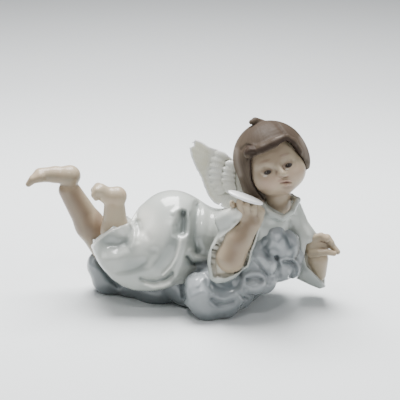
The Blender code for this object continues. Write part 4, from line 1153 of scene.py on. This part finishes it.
class FIGURINE_OT_wings(bpy.types.Operator):
    """Both wings with their rows of feathers"""

    bl_idname = "figurine.wings"
    bl_label = "Wings"

    def execute(self, context):
        clay, colours = settings(context)
        glaze = Glaze("feathered_white")
        patches = glaze.spread(glaze.noise(80, 4), 0.35, 0.7, 0, 0.5)
        cream = glaze.math("ADD", patches, glaze.part("outer", 0.7), True)
        glaze.colour = glaze.mix(cream, colours.wing, colours.wing_cream)
        glaze.lay(glaze.painted("barb", 0.2, -0.9, 0.35), colours.wing_shade)
        glaze.lay(glaze.part("quill", 0.3), colours.wing_cream)
        # Painted shade between the feathers, and painted highlights on their raised edges in the
        # plate's white
        glaze.lay(glaze.painted("hollow", 0.02, 0.32), colours.wing_shade)
        glaze.lay(glaze.painted("hollow", -0.05, -0.35), colours.plate)
        relief = glaze.math("ADD", glaze.painted("barb"), glaze.painted("quill"))
        feathers = glaze.finish(0.2, 0.7, glaze.math("MULTIPLY", relief, 0.5), 0.00022)
        for name, side in (("near_wing", Matrix.Identity(4)), ("far_wing", far_wing_mirror())):
            mesh = modelled(name, placed(near_wing(), side), voxel(clay.wing))
            read_surface(mesh, 1.5)
            spots = within_frame(side, places(mesh))
            waves, quills = barbs(spots)
            shaded(mesh, "barb", waves)
            shaded(mesh, "quill", quills)
            shaded(mesh, "outer", filled(spots, 100, PRIMARIES, 4))
            put_in_frame(mesh, name, feathers)
        return {"FINISHED"}


class FIGURINE_OT_plate(bpy.types.Operator):
    """Small oval plate in the raised hand"""

    bl_idname = "figurine.plate"
    bl_label = "Plate"

    def execute(self, context):
        clay, colours = settings(context)
        mesh = modelled("plate", plate(), voxel(clay.plate))
        read_surface(mesh, 1.5)
        glaze = Glaze("pale_plate")
        patches = glaze.spread(glaze.noise(150, 3), 0.4, 0.65)
        glaze.colour = glaze.mix(patches, colours.plate, colours.plate_shade)
        glaze.lay(glaze.painted("hollow", 0.05, 0.5), colours.plate_shade)
        put_in_frame(mesh, "plate", glaze.finish(0.16))
        return {"FINISHED"}


class FIGURINE_OT_cloud(bpy.types.Operator):
    """Cloud of rounded puffs under the figure"""

    bl_idname = "figurine.cloud"
    bl_label = "Cloud"

    def execute(self, context):
        clay, colours = settings(context)
        mesh = modelled("cloud", cloud(), voxel(clay.cloud))
        stood_flat(mesh, -STAND[2])
        read_surface(mesh, 3.5)
        shaded(mesh, "shade", brushed(places(mesh), ALL_THROUGH, *CLOUD_PAINT))
        glaze = Glaze("blue_grey_cloud")
        glaze.wash(34, 4, 0.7, colours.cloud, colours.cloud_pale_and_highlight)
        # Painted shade in the hollows
        glaze.lay(glaze.painted("hollow", 0.1, 1.6), colours.cloud_shade)
        # Painted highlights on the ridges
        glaze.lay(glaze.painted("hollow", -0.3, -1.6), colours.cloud_pale_and_highlight)
        # Painted shade in the darkest places, and darker towards the floor
        glaze.lay(glaze.part("shade", 1, True), colours.cloud_shade)
        height = glaze.split(glaze.place)[2]
        glaze.lay(glaze.spread(height, SHADED_UP_TO, 0, 0, 0.85), colours.cloud_shade)
        # Painted shade on what faces down
        glaze.pool(0.45)
        put_in_frame(mesh, "cloud", glaze.finish(0.2))
        return {"FINISHED"}


class FIGURINE_OT_stage(bpy.types.Operator):
    """Pale floor, soft studio light and the camera"""

    bl_idname = "figurine.stage"
    bl_label = "Floor, light and camera"

    def execute(self, context):
        scene = context.scene
        stage = scene.figurine_stage
        mesh = bpy.data.meshes.new("floor")
        bm = bmesh.new()
        bmesh.ops.create_grid(bm, x_segments=1, y_segments=1, size=stage.floor_reach)
        bm.to_mesh(mesh)
        bm.free()
        floor = bpy.data.objects.new("floor", mesh)
        scene.collection.objects.link(floor)
        paper = Glaze("pale_paper")
        grain = paper.spread(paper.noise(2, 3), 0.3, 0.7)
        paper.colour = paper.mix(grain, stage.floor, [0.97 * c for c in stage.floor])
        # Painted shade: the paper darkens further back
        paper.lay(paper.spread(paper.split(paper.place)[1], 0.18, 0.6), stage.floor_far_shade)
        for name, value in (("Base Color", paper.colour), ("Roughness", 0.85),
                            ("Specular IOR Level", 0.2)):
            paper.plug(paper.shader.inputs[name], value)
        mesh.materials.append(paper.material)

        world = bpy.data.worlds.new("studio")
        scene.world = world
        world.use_nodes = True
        background = world.node_tree.nodes["Background"]
        background.inputs["Color"].default_value = SKY
        background.inputs["Strength"].default_value = stage.sky

        for name, place, size in LIGHTS:
            data = bpy.data.lights.new(name, "AREA")
            data.size = size
            data.energy = getattr(stage, name)
            light = bpy.data.objects.new(name, data)
            light.location = place
            towards = Vector(LIT_POINT) - Vector(place)
            light.rotation_euler = towards.to_track_quat("-Z", "Y").to_euler()
            scene.collection.objects.link(light)

        drop = stage.camera_height
        up = Vector((0, math.sin(drop), math.cos(drop)))
        back = Vector((0, -math.cos(drop), math.sin(drop)))
        centre = Vector(STAND) * MM + Vector((1, 0, 0)) * stage.aim_across + up * stage.aim_up
        data = bpy.data.cameras.new("camera")
        data.sensor_width = FILM_WIDTH
        data.lens = FILM_WIDTH / 2 * stage.camera_distance / stage.half_width
        camera = bpy.data.objects.new("camera", data)
        camera.location = centre + back * stage.camera_distance
        camera.rotation_euler = (math.pi / 2 - drop, 0, 0)
        scene.collection.objects.link(camera)
        scene.camera = camera
        return {"FINISHED"}


def number(name, description, default, **kind):
    return bpy.props.FloatProperty(name=name, description=description, default=default, **kind)


def fineness(name, piece, default):
    return number(name, "Fineness of the " + piece, default, min=0.2)


def length(name, description, default):
    return number(name, description, default, unit="LENGTH", precision=5)


def power(name, description, default):
    return number(name, description, default, unit="POWER")


def colour(name, description, default):
    return bpy.props.FloatVectorProperty(name=name, description=description, default=default,
                                         subtype="COLOR", min=0, max=1)


class ClaySettings(bpy.types.PropertyGroup):
    """How fine the skin of each piece is modelled, in clay millimetres"""

    skin: fineness("Face", "head and neck", 0.45)
    hair: fineness("Hair", "hair", 0.45)
    robe: fineness("Robe", "robe", 0.69)
    hand: fineness("Hands", "arms and hands", 0.4)
    leg: fineness("Legs", "legs and feet", 0.45)
    wing: fineness("Wings", "wings", 0.36)
    plate: fineness("Plate", "plate", 0.35)
    cloud: fineness("Cloud", "cloud", 0.65)


class GlazeSettings(bpy.types.PropertyGroup):
    """The painter's colours"""

    flesh: colour("Flesh", "Bare skin", (0.44, 0.362, 0.258))
    flesh_warm: colour("Warm flesh", "Warmer patches of the skin", (0.46, 0.357, 0.248))
    # Painted shade on the skin, in creases and shaded places
    flesh_shade: colour("Creases", "Skin in creases", (0.22, 0.155, 0.11))
    blush: colour("Blush", "Cheeks", (0.46, 0.3, 0.23))
    # Painted glints on the eyes
    eye_glint: colour("Dabs", "Light dabs on the eyes", (0.62, 0.58, 0.5))
    brow: colour("Brows", "Eyebrows", (0.2, 0.125, 0.09))
    eye: colour("Eyes", "Iris and pupil", (0.025, 0.018, 0.014))
    eye_rim: colour("Eyelids", "Line round the eyes", (0.15, 0.095, 0.07))
    lips: colour("Lips", "Mouth", (0.33, 0.18, 0.14))
    lip_line: colour("Lip line", "Between the lips", (0.17, 0.09, 0.07))
    hair: colour("Hair", "Brown of the hair", (0.108, 0.084, 0.061))
    hair_light: colour("Light hair", "Thin paint on the locks", (0.134, 0.106, 0.078))
    # Painted shade on the hair
    hair_shade: colour("Dark hair", "Fringe and between the locks", (0.048, 0.034, 0.026))
    hair_sheen: colour("Hair sheen", "Light bands on the hair", (0.24, 0.2, 0.17))
    # Painted highlights and painted light on the robe
    robe_highlight: colour("Light robe", "Thick white along the edges of the robe", (0.86, 0.85, 0.78))
    robe: colour("Robe", "White of the robe", (0.56, 0.58, 0.54))
    robe_cool: colour("Cool robe", "Greener washes on the robe", (0.52, 0.55, 0.515))
    # Painted shade in the robe's folds
    robe_shade: colour("Folds", "Robe in its folds", (0.2, 0.225, 0.215))
    lining: colour("Lining", "Inside of the sleeves", (0.4, 0.365, 0.29))
    wing: colour("Wing", "White of the feathers", (0.82, 0.83, 0.78))
    wing_cream: colour("Cream", "Yellower feathers", (0.74, 0.725, 0.58))
    wing_shade: colour("Between feathers", "Grooves of the wings", (0.3, 0.31, 0.25))
    plate: colour("Plate", "Face of the plate", (0.9, 0.9, 0.89))
    plate_shade: colour("Plate shade", "Faint wash on the plate", (0.82, 0.82, 0.84))
    cloud: colour("Cloud", "Blue grey of the cloud", (0.31, 0.333, 0.35))
    # Paler patches, and painted highlights on the ridges
    cloud_pale_and_highlight: colour("Light cloud", "Ridges of the cloud", (0.42, 0.445, 0.46))
    # Painted shade in the cloud's hollows and low down
    cloud_shade: colour("Deep cloud", "Hollows of the cloud", (0.14, 0.162, 0.172))


class StageSettings(bpy.types.PropertyGroup):
    """Floor, light and camera"""

    floor: colour("Floor", "Pale paper", (0.86, 0.89, 0.895))
    floor_far_shade: colour("Far floor", "Paper away from the light", (0.66, 0.68, 0.69))
    floor_reach: length("Floor reach", "From the middle of the floor to its edge", 3)
    sky: number("Room light", "Even light from all round", 0.15, min=0)
    overhead: power("Overhead", "Soft box above", 29)
    lamp: power("Lamp", "Small lamp that glints on the glaze", 1.4)
    left_window: power("Left", "Window at the feet's side", 1.2)
    right_window: power("Right", "Window at the head's side", 1.4)
    camera_distance: length("Camera distance", "From the camera to the figurine", 0.95)
    camera_height: number("Camera height", "Angle that the camera looks down by", math.radians(20),
                          subtype="ANGLE")
    half_width: length("Half width", "Half of what the picture shows across at the figurine", 0.14)
    aim_across: length("Aim across", "Middle of the picture, to the right of the origin", 0.01085)
    aim_up: length("Aim up", "Middle of the picture, above the origin", 0.06895)


STEPS = (FIGURINE_OT_head, FIGURINE_OT_hair, FIGURINE_OT_robe, FIGURINE_OT_limbs, FIGURINE_OT_wings,
         FIGURINE_OT_plate, FIGURINE_OT_cloud, FIGURINE_OT_stage)
GROUPS = (("figurine_clay", ClaySettings), ("figurine_glaze", GlazeSettings),
          ("figurine_stage", StageSettings))


class FIGURINE_PT_panel(bpy.types.Panel):
    """Lists the figurine's pieces in the 3D view's sidebar"""

    bl_label = "Porcelain angel"
    bl_idname = "FIGURINE_PT_panel"
    bl_space_type = "VIEW_3D"
    bl_region_type = "UI"
    bl_category = "Figurine"

    def draw(self, context):
        for step in STEPS:
            self.layout.operator(step.bl_idname, text=step.bl_label)
        for key, group in GROUPS:
            box = self.layout.box()
            for name in group.__annotations__:
                box.prop(getattr(context.scene, key), name)


def register():
    for name, group in GROUPS:
        bpy.utils.register_class(group)
        setattr(bpy.types.Scene, name, bpy.props.PointerProperty(type=group))
    for step in (*STEPS, FIGURINE_PT_panel):
        bpy.utils.register_class(step)


def unregister():
    for step in (FIGURINE_PT_panel, *reversed(STEPS)):
        bpy.utils.unregister_class(step)
    for name, group in reversed(GROUPS):
        delattr(bpy.types.Scene, name)
        bpy.utils.unregister_class(group)


def main():
    register()
    bpy.ops.figurine.head()
    bpy.ops.figurine.hair()
    bpy.ops.figurine.robe()
    bpy.ops.figurine.limbs()
    bpy.ops.figurine.wings()
    bpy.ops.figurine.plate()
    bpy.ops.figurine.cloud()
    bpy.ops.figurine.stage()


if __name__ == "__main__":
    main()
